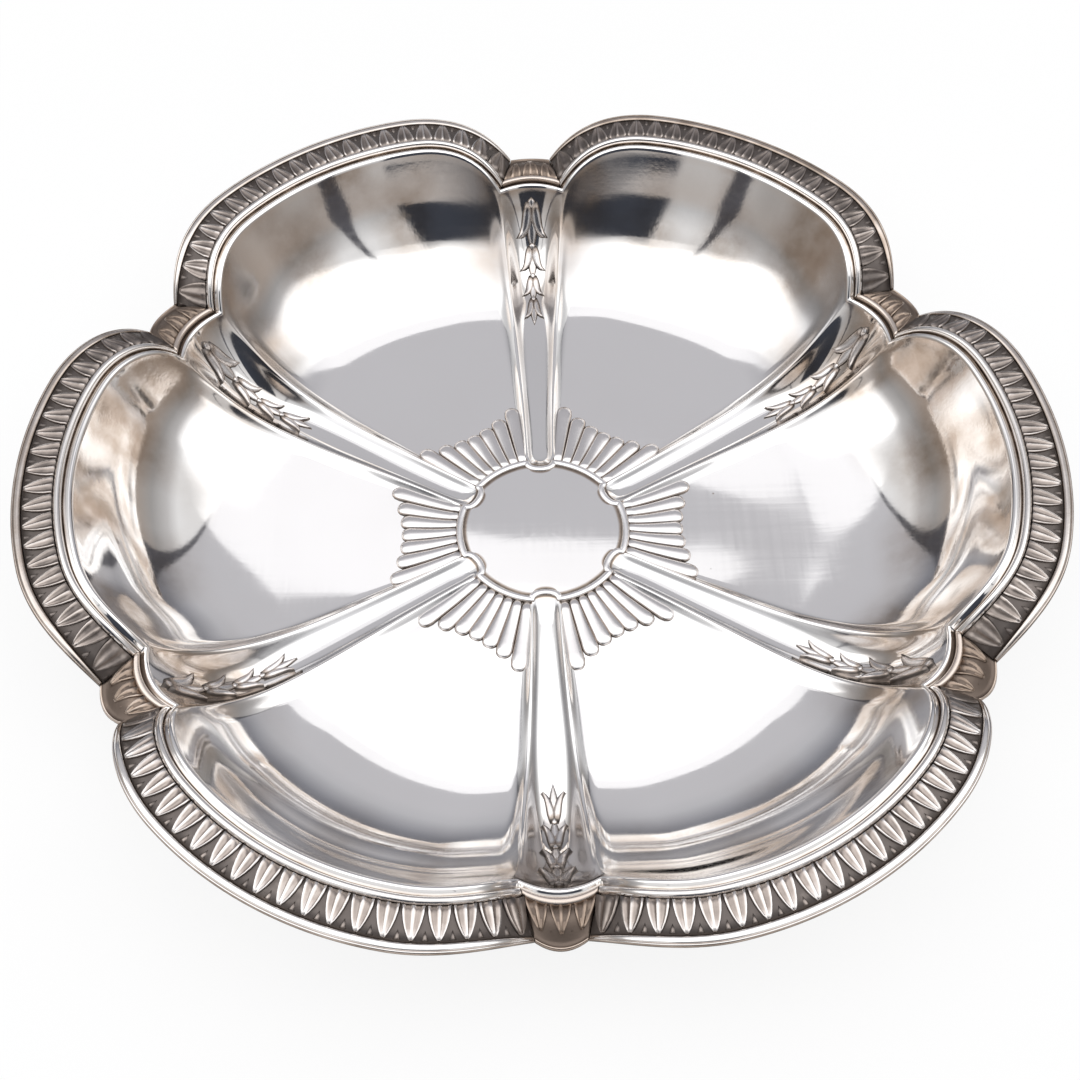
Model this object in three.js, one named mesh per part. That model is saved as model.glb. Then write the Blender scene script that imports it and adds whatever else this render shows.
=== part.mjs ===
// A round silver serving dish with six lobes. One pressed sheet makes the six wells, the hollow
// ribs between them and the fluted medallion. An applied border runs round its edge: in each lobe
// a strip of leaves between an edge wire and a bead wire, and at each rib a corner casting.
// Millimetres, +Z up. The dish stands on z = 0, its axis is Z and a lobe points along +X.
import * as THREE from "three";

// Outline of the border
const LOBES = 6;
const TIP_RADIUS = 160; // from the axis to the outer edge in the middle of a lobe
const MIDDLE_ARC = 115; // radius of the outer edge over the middle of a lobe
const CORNER_ARC = 57; // radius of the outer edge round the corners of a lobe
const NOTCH_DEPTH = 14.5; // how far in from the tip radius a lobe ends
const NOTCH_HALF = 7; // half the width of a corner casting at its outer edge
const CASTING_LENGTH = 17.5; // from a casting's outer corners to the rib's end
const CASTING_BULGE = 2.2; // how far a casting's outer edge bows out
const CASTING_DROOP = 1.4; // how far that edge hangs below its corners
const RIB_END_HALF = 11.3; // half the width of a rib at its outer end
const RIB_END_BULGE = 3.2; // how far the end of a rib bows out

// Widths across the border, from the outer edge inwards
const EDGE_WIRE = 3.1;
const LEAF_BAND = 9.4;
const BEAD_WIRE = 2.7;
const GROOVE = 1;
const LIP = 2.3;

// Heights
const SHEET = 1;
const RIM_HEIGHT = 41.7; // outer edge in the middle of a lobe, above the table
const RIB_END_HEIGHT = 26.9; // outer end of a rib, above the table
const MEDALLION_RISE = 2; // medallion above the floor of the wells
const MEDALLION_DOME = 0.5; // rise of the medallion to its middle
const LIP_DROP = 0.6; // inner edge of the lip below the outer edge of the border
const GROOVE_SHOULDER = 0.1; // outer edge of the lip below the same edge
const SEAT_DEPTH = 1.8; // seat of the applied border below the same edge
const BEAD_RISE = 1.9; // top of the bead wire above the same edge
const BEAD_SIDE_RISE = 1.1; // where the side of a casting's bead turns over
const LEAF_FOOT_RISE = 1.5; // leaf strip beside the bead wire
const LEAF_TIP_RISE = 0.1; // leaf strip beside the edge wire
const DIP_START = 0.19; // share of a lobe's half length where its edge starts to dip
const DIP_POWER = 5;

// Wells, ribs and medallion
const WALL_MIDDLE = 54; // width of a well's curved wall in the middle of a lobe
const WALL_CORNER = 42; // the same beside a rib
const RIB_HALF = 4.4; // half the width of a rib at the medallion
const RIB_FLARE = 1.46; // how late a rib widens
const RIB_HUG = 3; // how closely the lines of a well keep to the ribs' flare at its sides only
const CREST_START = 54; // radius where the crests of a rib start to climb
const CREST_POWER = 4;
const TROUGH_START = 98; // radius where the hollow of a rib starts to climb
const TROUGH_POWER = 2.2;
const RING_RADIUS = 27; // crest of the ring round the medallion
const RING_WIDTH = 3;
const RING_RISE = 0.6;
const LOOP_DEPTH = 2.9; // how far the ring steps in round the end of a rib
const FLUTES = 7; // in each well
const FLUTE_RISE = 1.1;
const FLUTE_REACH = 46; // end of the middle flute, along the lobe
const FLUTE_REACH_SIDE = 50.5; // end of the flutes beside the ribs, along the lobe
const LEAVES = 21; // on each leaf strip
const LEAF_RISE = 1; // back of a leaf above the ground of its strip
const LEAF_BACK = 0.55; // where a leaf is highest, as a share of the band from its tip

// Clearance between the applied pieces, and under them, that solder fills
const SOLDER_GAP = 0.3;
const FLANGE_INSET = 0.6; // edge of the sheet inside the edge of the wire on it

// Fineness of the facets
const RIB_COLUMNS = 4;
const CORNER_CROWDING = 1.32; // how much closer the stations stand at the corners
const DOME_STEP = 0.6; // facet line across the medallion, as a share of its radius
const FLUTE_STEPS = [0, 0.5, 0.9]; // facet lines over the flutes, as shares of their length
const FLOOR_STEPS = [0.1, 0.9]; // the same across the flat of a well
const WALL_STEPS = [0, 0.3, 0.55, 0.75, 0.9, 1]; // the same up its wall

const TURN = (2 * Math.PI) / LOBES;
const HALF_TURN = TURN / 2;
const BORDER = EDGE_WIRE + LEAF_BAND + BEAD_WIRE + GROOVE + LIP;
const NOTCH_RADIUS = TIP_RADIUS - NOTCH_DEPTH;
const RIB_END_CORNER = NOTCH_RADIUS - CASTING_LENGTH;
const NOTCH_HEIGHT = RIB_END_HEIGHT + LIP_DROP;
const FLOOR = SHEET;
const MEDALLION_HEIGHT = FLOOR + MEDALLION_RISE;
const RING_FOOT = RING_RADIUS + RING_WIDTH / 2;

// A plan point beside the rib that ends the lobe on +X, from its distance out along the rib and
// its distance from the middle of the rib towards that lobe.
function besideRib(out, aside) {
  const cos = Math.cos(HALF_TURN);
  const sin = Math.sin(HALF_TURN);
  return new THREE.Vector2(out * cos + aside * sin, out * sin - aside * cos);
}

// The outline of a lobe: a flat arc over its middle and a tighter arc round each corner. Its
// points are found by a share of its half length, from -1 to 1.
function basketArch(tip, middleRadius, cornerRadius, end) {
  const middle = new THREE.Vector2(tip - middleRadius, 0);
  const toEnd = end.clone().sub(middle);
  const reach = toEnd.length();
  const side = middleRadius - cornerRadius;
  const swing = Math.acos((side ** 2 + reach ** 2 - cornerRadius ** 2) / (2 * side * reach));
  const join = toEnd.angle() - swing;
  const corner = new THREE.Vector2(side, 0).rotateAround(new THREE.Vector2(), join).add(middle);
  const last = end.clone().sub(corner).angle();
  const middleLength = middleRadius * join;
  const halfLength = middleLength + cornerRadius * (last - join);
  const at = (share) => {
    const along = Math.abs(share) * halfLength;
    const onMiddle = along <= middleLength;
    const centre = onMiddle ? middle : corner;
    const radius = onMiddle ? middleRadius : cornerRadius;
    const angle = onMiddle ? along / middleRadius : join + (along - middleLength) / cornerRadius;
    const y = centre.y + radius * Math.sin(angle);
    return new THREE.Vector2(centre.x + radius * Math.cos(angle), Math.sign(share) * y);
  };
  return { at, halfLength };
}

const notch = besideRib(NOTCH_RADIUS, NOTCH_HALF);
const ribEnd = besideRib(RIB_END_CORNER, RIB_END_HALF);
const outerEdge = basketArch(TIP_RADIUS, MIDDLE_ARC, CORNER_ARC, notch);
const lipEdge = basketArch(TIP_RADIUS - BORDER, MIDDLE_ARC - BORDER, CORNER_ARC - BORDER, ribEnd);

// Height of the outer edge along a lobe: level over the middle, dipping to the notches.
function edgeHeight(share) {
  const dip = Math.max(0, (Math.abs(share) - DIP_START) / (1 - DIP_START));
  return RIM_HEIGHT - (RIM_HEIGHT - NOTCH_HEIGHT) * dip ** DIP_POWER;
}

// The stations of a lobe's border and of a corner casting. Each is a line across the border from
// the outer edge to the lip, with the height of the edge there.
const lobeStations = [];
for (let k = 0; k <= 2 * FLUTES; k += 1) {
  const across = k / FLUTES - 1;
  const share = Math.sign(across) * (1 - (1 - Math.abs(across)) ** CORNER_CROWDING);
  lobeStations.push({
    at: share,
    across,
    outer: outerEdge.at(share),
    inner: lipEdge.at(share),
    height: edgeHeight(share),
  });
}

const castingStations = [];
for (let k = 0; k <= RIB_COLUMNS; k += 1) {
  const across = (2 * k) / RIB_COLUMNS - 1;
  const bow = 1 - across ** 2;
  castingStations.push({
    at: across,
    across,
    outer: besideRib(NOTCH_RADIUS + CASTING_BULGE * bow, NOTCH_HALF * across),
    inner: besideRib(RIB_END_CORNER + RIB_END_BULGE * bow, RIB_END_HALF * across),
    height: NOTCH_HEIGHT,
    droop: CASTING_DROOP * bow,
  });
}

// The line across the border between two stations.
function stationAt(stations, at) {
  let i = 0;
  while (i < stations.length - 2 && at > stations[i + 1].at) {
    i += 1;
  }
  const a = stations[i];
  const b = stations[i + 1];
  const f = (at - a.at) / (b.at - a.at);
  return {
    outer: a.outer.clone().lerp(b.outer, f),
    inner: a.inner.clone().lerp(b.inner, f),
    height: THREE.MathUtils.lerp(a.height, b.height, f),
    droop: THREE.MathUtils.lerp(a.droop ?? 0, b.droop ?? 0, f),
  };
}

// A point of the border, from its distance in from the outer edge and its height above that edge.
function borderPoint(station, inset, rise) {
  const share = inset / BORDER;
  const plan = station.outer.clone().lerp(station.inner, share);
  const hang = (station.droop ?? 0) * (1 - share);
  return new THREE.Vector3(plan.x, plan.y, station.height - hang + rise);
}

// A closed geometry from corner points and triangles, turned so that its faces point out.
function closedGeometry(points, triangles) {
  let volume = 0;
  const cross = new THREE.Vector3();
  for (const [a, b, c] of triangles) {
    volume += points[a].dot(cross.crossVectors(points[b], points[c]));
  }
  const index = volume > 0 ? triangles.flat() : triangles.flatMap(([a, b, c]) => [a, c, b]);
  const geometry = new THREE.BufferGeometry();
  geometry.setFromPoints(points);
  geometry.setIndex(index);
  geometry.computeVertexNormals();
  return geometry;
}

// A bar through a row of like sections, closed at both ends.
function barGeometry(sections) {
  const sides = sections[0].length;
  const points = sections.flat();
  const triangles = [];
  for (let i = 0; i + 1 < sections.length; i += 1) {
    for (let j = 0; j < sides; j += 1) {
      const a = i * sides + j;
      const b = i * sides + ((j + 1) % sides);
      triangles.push([a, b, b + sides], [a, b + sides, a + sides]);
    }
  }
  const last = (sections.length - 1) * sides;
  for (let j = 1; j + 1 < sides; j += 1) {
    triangles.push([0, j + 1, j], [last, last + j, last + j + 1]);
  }
  return closedGeometry(points, triangles);
}

// Plan of the medallion's ring, which steps inwards round the end of each rib.
function ringPlan(column, radius) {
  if (column.inRib) {
    const aside = column.across * RIB_HALF;
    const step = LOOP_DEPTH * Math.sqrt(1 - column.across ** 2);
    return besideRib(Math.sqrt(radius ** 2 - aside ** 2) - step, aside);
  }
  const spread = HALF_TURN - Math.asin(RIB_HALF / radius);
  return new THREE.Vector2(radius, 0).rotateAround(new THREE.Vector2(), column.across * spread);
}

// Plan of the wells and ribs, from 0 at the ring to 1 at the lip. The outermost lines of a well
// are the crests of the ribs beside it.
function bodyPlan(column, share) {
  const start = ringPlan(column, RING_FOOT);
  const plan = start.lerp(column.station.inner, share);
  const widen = (RIB_END_HALF - RIB_HALF) * (share ** RIB_FLARE - share);
  if (column.inRib) {
    return plan.add(besideRib(0, widen * column.across));
  }
  const pull = besideRib(0, widen * Math.abs(column.across) ** RIB_HUG);
  return plan.add(new THREE.Vector2(pull.x, pull.y * Math.sign(column.across)));
}

// Where the flutes end and the wall of the well starts, as shares of the way to the lip.
function bodyBreaks(column) {
  const edge = column.inRib ? { across: 1, station: lobeStations.at(-1) } : column;
  const start = ringPlan(edge, RING_FOOT);
  const end = edge.station.inner;
  const beside = edge.across ** 2;
  const reach = THREE.MathUtils.lerp(FLUTE_REACH, FLUTE_REACH_SIDE, beside);
  const wall = THREE.MathUtils.lerp(WALL_MIDDLE, WALL_CORNER, beside);
  return {
    wall,
    fluteEnd: (reach - start.x) / (end.x - start.x),
    wallFoot: 1 - wall / start.distanceTo(end),
  };
}

// Height of a well's wall above the floor: an arc that leaves the floor level and ends at the lip.
function wallHeight(column, wall, climb) {
  const rise = column.station.height - LIP_DROP - FLOOR;
  const radius = (wall ** 2 + rise ** 2) / (2 * rise);
  return radius - Math.sqrt(radius ** 2 - (wall * Math.max(0, climb)) ** 2);
}

function climbFrom(start, end, at, power) {
  return Math.max(0, (at - start) / (end - start)) ** power;
}

// Height of the crest of a rib, and of the hollow between its crests.
function ribHeight(column, share) {
  const ringEnd = Math.sqrt(RING_FOOT ** 2 - RIB_HALF ** 2);
  const out = THREE.MathUtils.lerp(ringEnd, RIB_END_CORNER, share);
  const crestClimb = climbFrom(CREST_START, RIB_END_CORNER, out, CREST_POWER);
  const crest = THREE.MathUtils.lerp(MEDALLION_HEIGHT, RIB_END_HEIGHT, crestClimb);
  const troughClimb = climbFrom(TROUGH_START, RIB_END_CORNER, out, TROUGH_POWER);
  const trough = THREE.MathUtils.lerp(FLOOR, RIB_END_HEIGHT, troughClimb);
  return THREE.MathUtils.lerp(trough, crest, column.across ** 2);
}

function bodyHeight(column, share, fluteShare) {
  if (column.inRib || Math.abs(column.across) === 1) {
    return ribHeight(column, share);
  }
  const { wall, wallFoot } = bodyBreaks(column);
  const climb = (share - wallFoot) / (1 - wallFoot);
  const flute = column.onFlute ? FLUTE_RISE * fluteShare : 0;
  return FLOOR + wallHeight(column, wall, climb) + flute;
}

// The upper face of the sheet, as closed loops of points from the middle outwards.
function sheetLoops() {
  const columns = [];
  for (let lobe = 0; lobe < LOBES; lobe += 1) {
    lobeStations.forEach((station, k) => {
      columns.push({ lobe, station, across: station.across, inRib: false, onFlute: k % 2 === 1 });
    });
    for (const station of castingStations.slice(1, -1).reverse()) {
      columns.push({ lobe, station, across: station.across, inRib: true, onFlute: false });
    }
  }
  const loops = [];
  const addLoop = (pointOf) => {
    loops.push(columns.map((column) => {
      const { plan, height } = pointOf(column);
      plan.rotateAround(new THREE.Vector2(), column.lobe * TURN);
      return new THREE.Vector3(plan.x, plan.y, height);
    }));
  };
  const ringInner = RING_RADIUS - RING_WIDTH / 2;
  const domeHeight = MEDALLION_HEIGHT + MEDALLION_DOME * (1 - DOME_STEP ** 2);
  addLoop((c) => ({ plan: ringPlan(c, ringInner).multiplyScalar(DOME_STEP), height: domeHeight }));
  addLoop((c) => ({ plan: ringPlan(c, ringInner), height: MEDALLION_HEIGHT }));
  addLoop((c) => ({ plan: ringPlan(c, RING_RADIUS), height: MEDALLION_HEIGHT + RING_RISE }));
  const bodyLoop = (shareOf, fluteShare) => addLoop((c) => {
    const share = shareOf(bodyBreaks(c));
    return { plan: bodyPlan(c, share), height: bodyHeight(c, share, fluteShare) };
  });
  for (const step of FLUTE_STEPS) {
    bodyLoop((b) => step * b.fluteEnd, 1);
  }
  bodyLoop((b) => b.fluteEnd, 0);
  for (const step of FLOOR_STEPS) {
    bodyLoop((b) => THREE.MathUtils.lerp(b.fluteEnd, b.wallFoot, step), 0);
  }
  for (const step of WALL_STEPS) {
    bodyLoop((b) => THREE.MathUtils.lerp(b.wallFoot, 1, step), 0);
  }
  const grooveInset = BORDER - LIP;
  const seatInset = grooveInset - GROOVE;
  const flangeSteps = [
    [grooveInset, -GROOVE_SHOULDER],
    [seatInset, -SEAT_DEPTH],
    [(seatInset + FLANGE_INSET) / 2, -SEAT_DEPTH],
    [FLANGE_INSET, -SEAT_DEPTH],
  ];
  for (const [inset, rise] of flangeSteps) {
    addLoop((c) => {
      const point = borderPoint(c.station, inset, rise);
      return { plan: new THREE.Vector2(point.x, point.y), height: point.z };
    });
  }
  return loops;
}

// The pressed sheet: its upper face, the same face one thickness below, and the edge between.
function sheetGeometry() {
  const loops = sheetLoops();
  const count = loops[0].length;
  const upper = [new THREE.Vector3(0, 0, MEDALLION_HEIGHT + MEDALLION_DOME), ...loops.flat()];
  const faces = [];
  for (let j = 0; j < count; j += 1) {
    const next = (j + 1) % count;
    faces.push([0, 1 + j, 1 + next]);
    for (let i = 0; i + 1 < loops.length; i += 1) {
      const a = 1 + i * count + j;
      const b = 1 + i * count + next;
      faces.push([a, a + count, b + count], [a, b + count, b]);
    }
  }
  const skin = new THREE.BufferGeometry();
  skin.setFromPoints(upper);
  skin.setIndex(faces.flat());
  skin.computeVertexNormals();
  const normals = skin.getAttribute("normal");
  const lower = upper.map((point, i) => {
    const normal = new THREE.Vector3().fromBufferAttribute(normals, i);
    return point.clone().addScaledVector(normal, -SHEET);
  });
  const below = upper.length;
  const triangles = [...faces, ...faces.map(([a, b, c]) => [a + below, c + below, b + below])];
  const rim = 1 + (loops.length - 1) * count;
  for (let j = 0; j < count; j += 1) {
    const a = rim + j;
    const b = rim + ((j + 1) % count);
    triangles.push([a, a + below, b + below], [a, b + below, b]);
  }
  return closedGeometry([...upper, ...lower], triangles);
}

// The applied border lies a gap above its seat, and its pieces end half a gap short of each other.
const HALF_GAP = SOLDER_GAP / 2;
const seatTop = SOLDER_GAP - SEAT_DEPTH;
const stripEnd = 1 - HALF_GAP / outerEdge.halfLength;
const castingEnd = 1 - HALF_GAP / NOTCH_HALF;
const beadStart = EDGE_WIRE + LEAF_BAND;
const beadStop = beadStart + BEAD_WIRE - HALF_GAP;
const leafBack = THREE.MathUtils.lerp(EDGE_WIRE, beadStart, LEAF_BACK);
const leafGround = THREE.MathUtils.lerp(LEAF_TIP_RISE, LEAF_FOOT_RISE, LEAF_BACK);

// Section of a wire, as shares of its width and of its height above the seat.
const WIRE_SECTION = [
  [0.15, 0],
  [0.85, 0],
  [1, 0.45],
  [0.75, 0.92],
  [0.5, 1],
  [0.25, 0.92],
  [0, 0.45],
];

// A wire of rounded section along a lobe, from one distance in from the edge to another.
function wireGeometry(from, to, top) {
  const width = to - from;
  const height = top - seatTop;
  const sections = lobeStations.map(({ at }) => {
    const station = stationAt(lobeStations, at * stripEnd);
    return WIRE_SECTION.map(([x, z]) => {
      return borderPoint(station, from + width * x, seatTop + height * z);
    });
  });
  return barGeometry(sections);
}

// The leaf strip: a sloping band whose middle line rises over each leaf and falls between them.
// It has a section at each rise and fall, and where the seat below it bends.
function leafStripGeometry() {
  const from = EDGE_WIRE + HALF_GAP;
  const to = beadStart - HALF_GAP;
  const places = lobeStations.map((station) => station.at);
  for (let k = 1; k < 2 * LEAVES; k += 1) {
    places.push(k / LEAVES - 1);
  }
  places.sort((a, b) => a - b);
  const sections = places.map((at) => {
    const station = stationAt(lobeStations, at * stripEnd);
    const step = ((at + 1) * LEAVES) % 2;
    const leaf = LEAF_RISE * (1 - Math.abs(1 - step));
    return [
      borderPoint(station, from, seatTop),
      borderPoint(station, to, seatTop),
      borderPoint(station, to, LEAF_FOOT_RISE),
      borderPoint(station, leafBack, leafGround + leaf),
      borderPoint(station, from, LEAF_TIP_RISE),
    ];
  });
  return barGeometry(sections);
}

// The corner casting: the border's own section in one piece, from its edge to its bead.
function castingGeometry() {
  const profile = [
    [FLANGE_INSET, seatTop],
    [beadStop, seatTop],
    [beadStop, BEAD_SIDE_RISE],
    [(beadStart + beadStop) / 2, BEAD_RISE],
    [beadStart, LEAF_FOOT_RISE],
    [leafBack, leafGround + LEAF_RISE],
    [EDGE_WIRE, LEAF_TIP_RISE],
    [0, seatTop / 2],
  ];
  const sections = castingStations.map(({ at }) => {
    const station = stationAt(castingStations, at * castingEnd);
    return profile.map(([inset, rise]) => borderPoint(station, inset, rise));
  });
  return barGeometry(sections);
}

function silver(color, roughness) {
  return new THREE.MeshStandardMaterial({ color, roughness, metalness: 1 });
}

const dish = new THREE.Group();

function addPiece(name, geometry, material, turn) {
  const piece = new THREE.Mesh(geometry, material);
  piece.name = name;
  piece.rotation.z = turn;
  dish.add(piece);
}

addPiece("dish_sheet", sheetGeometry(), silver(0xdcdad8, 0.1), 0);

const leafStrip = leafStripGeometry();
const edgeWire = wireGeometry(0, EDGE_WIRE - HALF_GAP, 0);
const beadWire = wireGeometry(beadStart + HALF_GAP, beadStop, BEAD_RISE);
const casting = castingGeometry();
for (let lobe = 0; lobe < LOBES; lobe += 1) {
  const turn = lobe * TURN;
  const number = lobe + 1;
  addPiece(`leaf_strip_${number}`, leafStrip, silver(0xa39a90, 0.3), turn);
  addPiece(`edge_wire_${number}`, edgeWire, silver(0xd2cfcc, 0.15), turn);
  addPiece(`bead_wire_${number}`, beadWire, silver(0xdad8d6, 0.12), turn);
  addPiece(`corner_casting_${number}`, casting, silver(0x948a80, 0.3), turn);
}

export default dish;
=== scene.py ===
import math

import bpy
import numpy as np
from mathutils import Matrix, Vector


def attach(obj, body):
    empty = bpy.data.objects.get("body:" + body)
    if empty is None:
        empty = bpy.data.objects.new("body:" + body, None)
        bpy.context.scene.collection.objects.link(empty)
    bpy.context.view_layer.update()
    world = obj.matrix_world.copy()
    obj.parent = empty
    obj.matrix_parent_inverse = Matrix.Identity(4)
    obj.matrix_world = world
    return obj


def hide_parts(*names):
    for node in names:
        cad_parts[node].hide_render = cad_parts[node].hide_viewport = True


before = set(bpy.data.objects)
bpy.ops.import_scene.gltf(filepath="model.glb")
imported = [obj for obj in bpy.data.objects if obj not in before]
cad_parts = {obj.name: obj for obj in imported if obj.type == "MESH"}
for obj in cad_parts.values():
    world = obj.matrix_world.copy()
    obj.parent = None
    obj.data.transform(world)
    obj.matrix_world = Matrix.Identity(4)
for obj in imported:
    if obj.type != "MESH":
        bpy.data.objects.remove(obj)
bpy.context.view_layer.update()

# The dish sheet. One round of silver sheet, pressed and raised into six wells with hollow ribs
# between them and a plain medallion in the middle. Its flange, turned out past a rounded lip and a
# groove, carries the border that is soldered on. Polished by hand, dark in the groove.
LOBES = 6
TURN = 2 * math.pi / LOBES
SHEET = 0.001
TIP_RADIUS = 0.160
MIDDLE_ARC = 0.115
CORNER_ARC = 0.057
NOTCH_RADIUS = 0.1455
NOTCH_HALF = 0.007
RIB_END_CORNER = 0.128
RIB_END_HALF = 0.0113
RIB_END_BULGE = 0.0032
CASTING_BULGE = 0.0022
CASTING_DROOP = 0.0014
EDGE_WIRE = 0.0031
LEAF_BAND = 0.0094
BEAD_WIRE = 0.0027
GROOVE = 0.001
LIP = 0.0023
BORDER = EDGE_WIRE + LEAF_BAND + BEAD_WIRE + GROOVE + LIP
FLANGE_INSET = 0.0006
RIM_HEIGHT = 0.0417
LIP_DROP = 0.0006
SEAT_DEPTH = 0.0018
RIB_END_HEIGHT = 0.0269
NOTCH_HEIGHT = RIB_END_HEIGHT + LIP_DROP
DIP_START = 0.19
DIP_POWER = 5
FLOOR = SHEET
MEDALLION_HEIGHT = 0.003
MEDALLION_DOME = 0.0005
RING_RADIUS = 0.027
RING_WIDTH = 0.003
RING_FOOT = RING_RADIUS + RING_WIDTH / 2
RING_INSIDE = RING_RADIUS - RING_WIDTH / 2
LOOP_DEPTH = 0.0029
WALL_MIDDLE = 0.054
WALL_CORNER = 0.042
WALL_TURN = 0.76
WALL_STEEP = math.radians(61)
RIB_HALF = 0.0044
RIB_FLARE = 1.46
CREST_START = 0.054
CREST_POWER = 4
CREST_ROUND = 0.12
HOLLOW_POWER = 3
TROUGH_START = 0.098
TROUGH_POWER = 2.2
TROUGH_END = 0.006
FAN_RISE = 0.0016
FAN_REACH = 0.012
DISH_RISE = 0.0011
DISH_START = 0.2
SIDE_AT_RING = 0.0022
SIDE_AT_LIP = 0.0085


def beside_rib(out, aside):
    """Plan points, from their distance out along the rib after the first lobe and aside from it."""
    cos, sin = math.cos(TURN / 2), math.sin(TURN / 2)
    return np.stack([out * cos + aside * sin, out * sin - aside * cos], -1)


def ramp(values, low, high):
    """A share that runs from 0 at one value to 1 at another."""
    return np.clip((values - low) / (high - low), 0, 1)


def lobe_arch(tip, middle_radius, corner_radius, end):
    """The outline of the first lobe, a flat arc with a tighter one at each corner, and half its length."""
    to_end = end - np.array([tip - middle_radius, 0])
    reach = math.hypot(*to_end)
    side = middle_radius - corner_radius
    swing = math.acos((side**2 + reach**2 - corner_radius**2) / (2 * side * reach))
    join = math.atan2(to_end[1], to_end[0]) - swing
    corner_x = tip - middle_radius + side * math.cos(join)
    corner_y = side * math.sin(join)
    middle_length = middle_radius * join
    last = math.atan2(end[1] - corner_y, end[0] - corner_x)
    half_length = middle_length + corner_radius * (last - join)

    def at(share):
        along = np.abs(share) * half_length
        flat = along <= middle_length
        angle = np.where(flat, along / middle_radius, join + (along - middle_length) / corner_radius)
        radius = np.where(flat, middle_radius, corner_radius)
        x = np.where(flat, tip - middle_radius, corner_x) + radius * np.cos(angle)
        y = np.where(flat, 0, corner_y) + radius * np.sin(angle)
        return np.stack([x, np.sign(share) * y], -1)

    return at, half_length


outer_edge, outer_half_length = lobe_arch(
    TIP_RADIUS, MIDDLE_ARC, CORNER_ARC, beside_rib(NOTCH_RADIUS, NOTCH_HALF)
)
lip_edge, lip_half_length = lobe_arch(
    TIP_RADIUS - BORDER, MIDDLE_ARC - BORDER, CORNER_ARC - BORDER, beside_rib(RIB_END_CORNER, RIB_END_HALF)
)


def edge_height(share):
    """Height of the outer edge along a lobe: level over the middle, dipping to the notches."""
    dip = np.clip((np.abs(share) - DIP_START) / (1 - DIP_START), 0, None)
    return RIM_HEIGHT - (RIM_HEIGHT - NOTCH_HEIGHT) * dip**DIP_POWER


def with_height(plan, height):
    return np.concatenate([plan, height[..., None]], -1)


def across_border(outer, inner, inset):
    """Plan points between the outer edge and the lip, by their distance in from the edge."""
    depth = (inset / BORDER)[..., None]
    return outer * (1 - depth) + inner * depth


def lobe_border(share, inset, rise):
    """Points of the border along the first lobe, by their distance in from the edge and above it."""
    return with_height(across_border(outer_edge(share), lip_edge(share), inset), edge_height(share) + rise)


def corner_border(across, inset, rise):
    """Points of the border round the end of the first rib, from -1 to 1 across it."""
    bow = 1 - across**2
    outer = beside_rib(NOTCH_RADIUS + CASTING_BULGE * bow, NOTCH_HALF * across)
    inner = beside_rib(RIB_END_CORNER + RIB_END_BULGE * bow, RIB_END_HALF * across)
    height = NOTCH_HEIGHT - CASTING_DROOP * bow * (1 - inset / BORDER) + rise
    return with_height(across_border(outer, inner, inset), height)


def rounded(share, radius):
    """A share from 0 to 1 that leaves 0 level, so that a ridge has a round crest there."""
    return (np.sqrt(share**2 + radius**2) - radius) / (math.sqrt(1 + radius**2) - radius)


def rib_line(share, low, start, power):
    """Height of a line along a rib that stays low up to a start and then climbs to the rib's end."""
    out = RING_FOOT + (RIB_END_CORNER - RING_FOOT) * share
    climb = np.clip((out - start) / (RIB_END_CORNER - start), 0, None) ** power
    return low + (RIB_END_HEIGHT - low) * climb


def flare(share):
    """How much wider a rib is than one that widens evenly."""
    return (RIB_END_HALF - RIB_HALF) * (share**RIB_FLARE - share)


ring_spread = TURN / 2 - math.asin(RIB_HALF / RING_FOOT)


def round_ring(angle):
    return RING_FOOT * np.stack([np.cos(angle), np.sin(angle)], -1)


def well_wall(edge_share, share):
    """Height of a well along the line that ends at a share of the lip."""
    length = np.linalg.norm(lip_edge(edge_share) - round_ring(edge_share * ring_spread), axis=-1)
    beside = (1 - (1 - np.abs(edge_share)) ** WALL_TURN) ** 2
    wall = WALL_MIDDLE + (WALL_CORNER - WALL_MIDDLE) * beside
    climb = np.clip((share - 1) * length / wall + 1, 0, 1)
    rise = edge_height(edge_share) - LIP_DROP - FLOOR
    straight = np.maximum(rise / math.tan(WALL_STEEP / 2) - wall, 0)
    curved = wall - straight * math.cos(WALL_STEEP)
    radius = np.where(straight > 0, curved / math.sin(WALL_STEEP), (wall**2 + rise**2) / (2 * rise))
    reach = wall * climb
    bend = radius - np.sqrt(radius**2 - np.minimum(reach, curved) ** 2)
    line = np.maximum(reach - curved, 0) * math.tan(WALL_STEEP)
    fan = FAN_RISE * np.clip(1 - share * length / FAN_REACH, 0, 1) ** 2
    return FLOOR + fan + bend + line


# Columns run round the dish: over the side of a rib, across a well, over the next side and across
# the hollow of the next rib, closer at the crests. Rows run from the ring out to the lip.
SIDE_COLUMNS = 9
SIDE_CLOSENESS = 1.4
FLOOR_COLUMNS = 24
HOLLOW_COLUMNS = 9
HOLLOW_CLOSENESS = 1.5
side_steps = np.linspace(0, 1, SIDE_COLUMNS + 1)[:-1] ** SIDE_CLOSENESS
floor_steps = np.linspace(0, 1, FLOOR_COLUMNS)
hollow_steps = np.linspace(0, 1, HOLLOW_COLUMNS + 1)[1:] ** HOLLOW_CLOSENESS
row_share = np.concatenate([np.linspace(0, 0.03, 6), np.linspace(0.05, 0.45, 11), np.linspace(0.47, 1, 52)])
half_side = np.concatenate([side_steps, np.ones(FLOOR_COLUMNS)])
half_floor = np.concatenate([np.zeros(SIDE_COLUMNS), floor_steps])


def from_crest(half_length, side_width):
    return side_width * half_side + (half_length - side_width) * half_floor


def there_and_back(values, mirror):
    """A row from the first crest to the middle of the well and on to the second crest."""
    return np.concatenate([mirror * values, values[-2::-1]])


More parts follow.
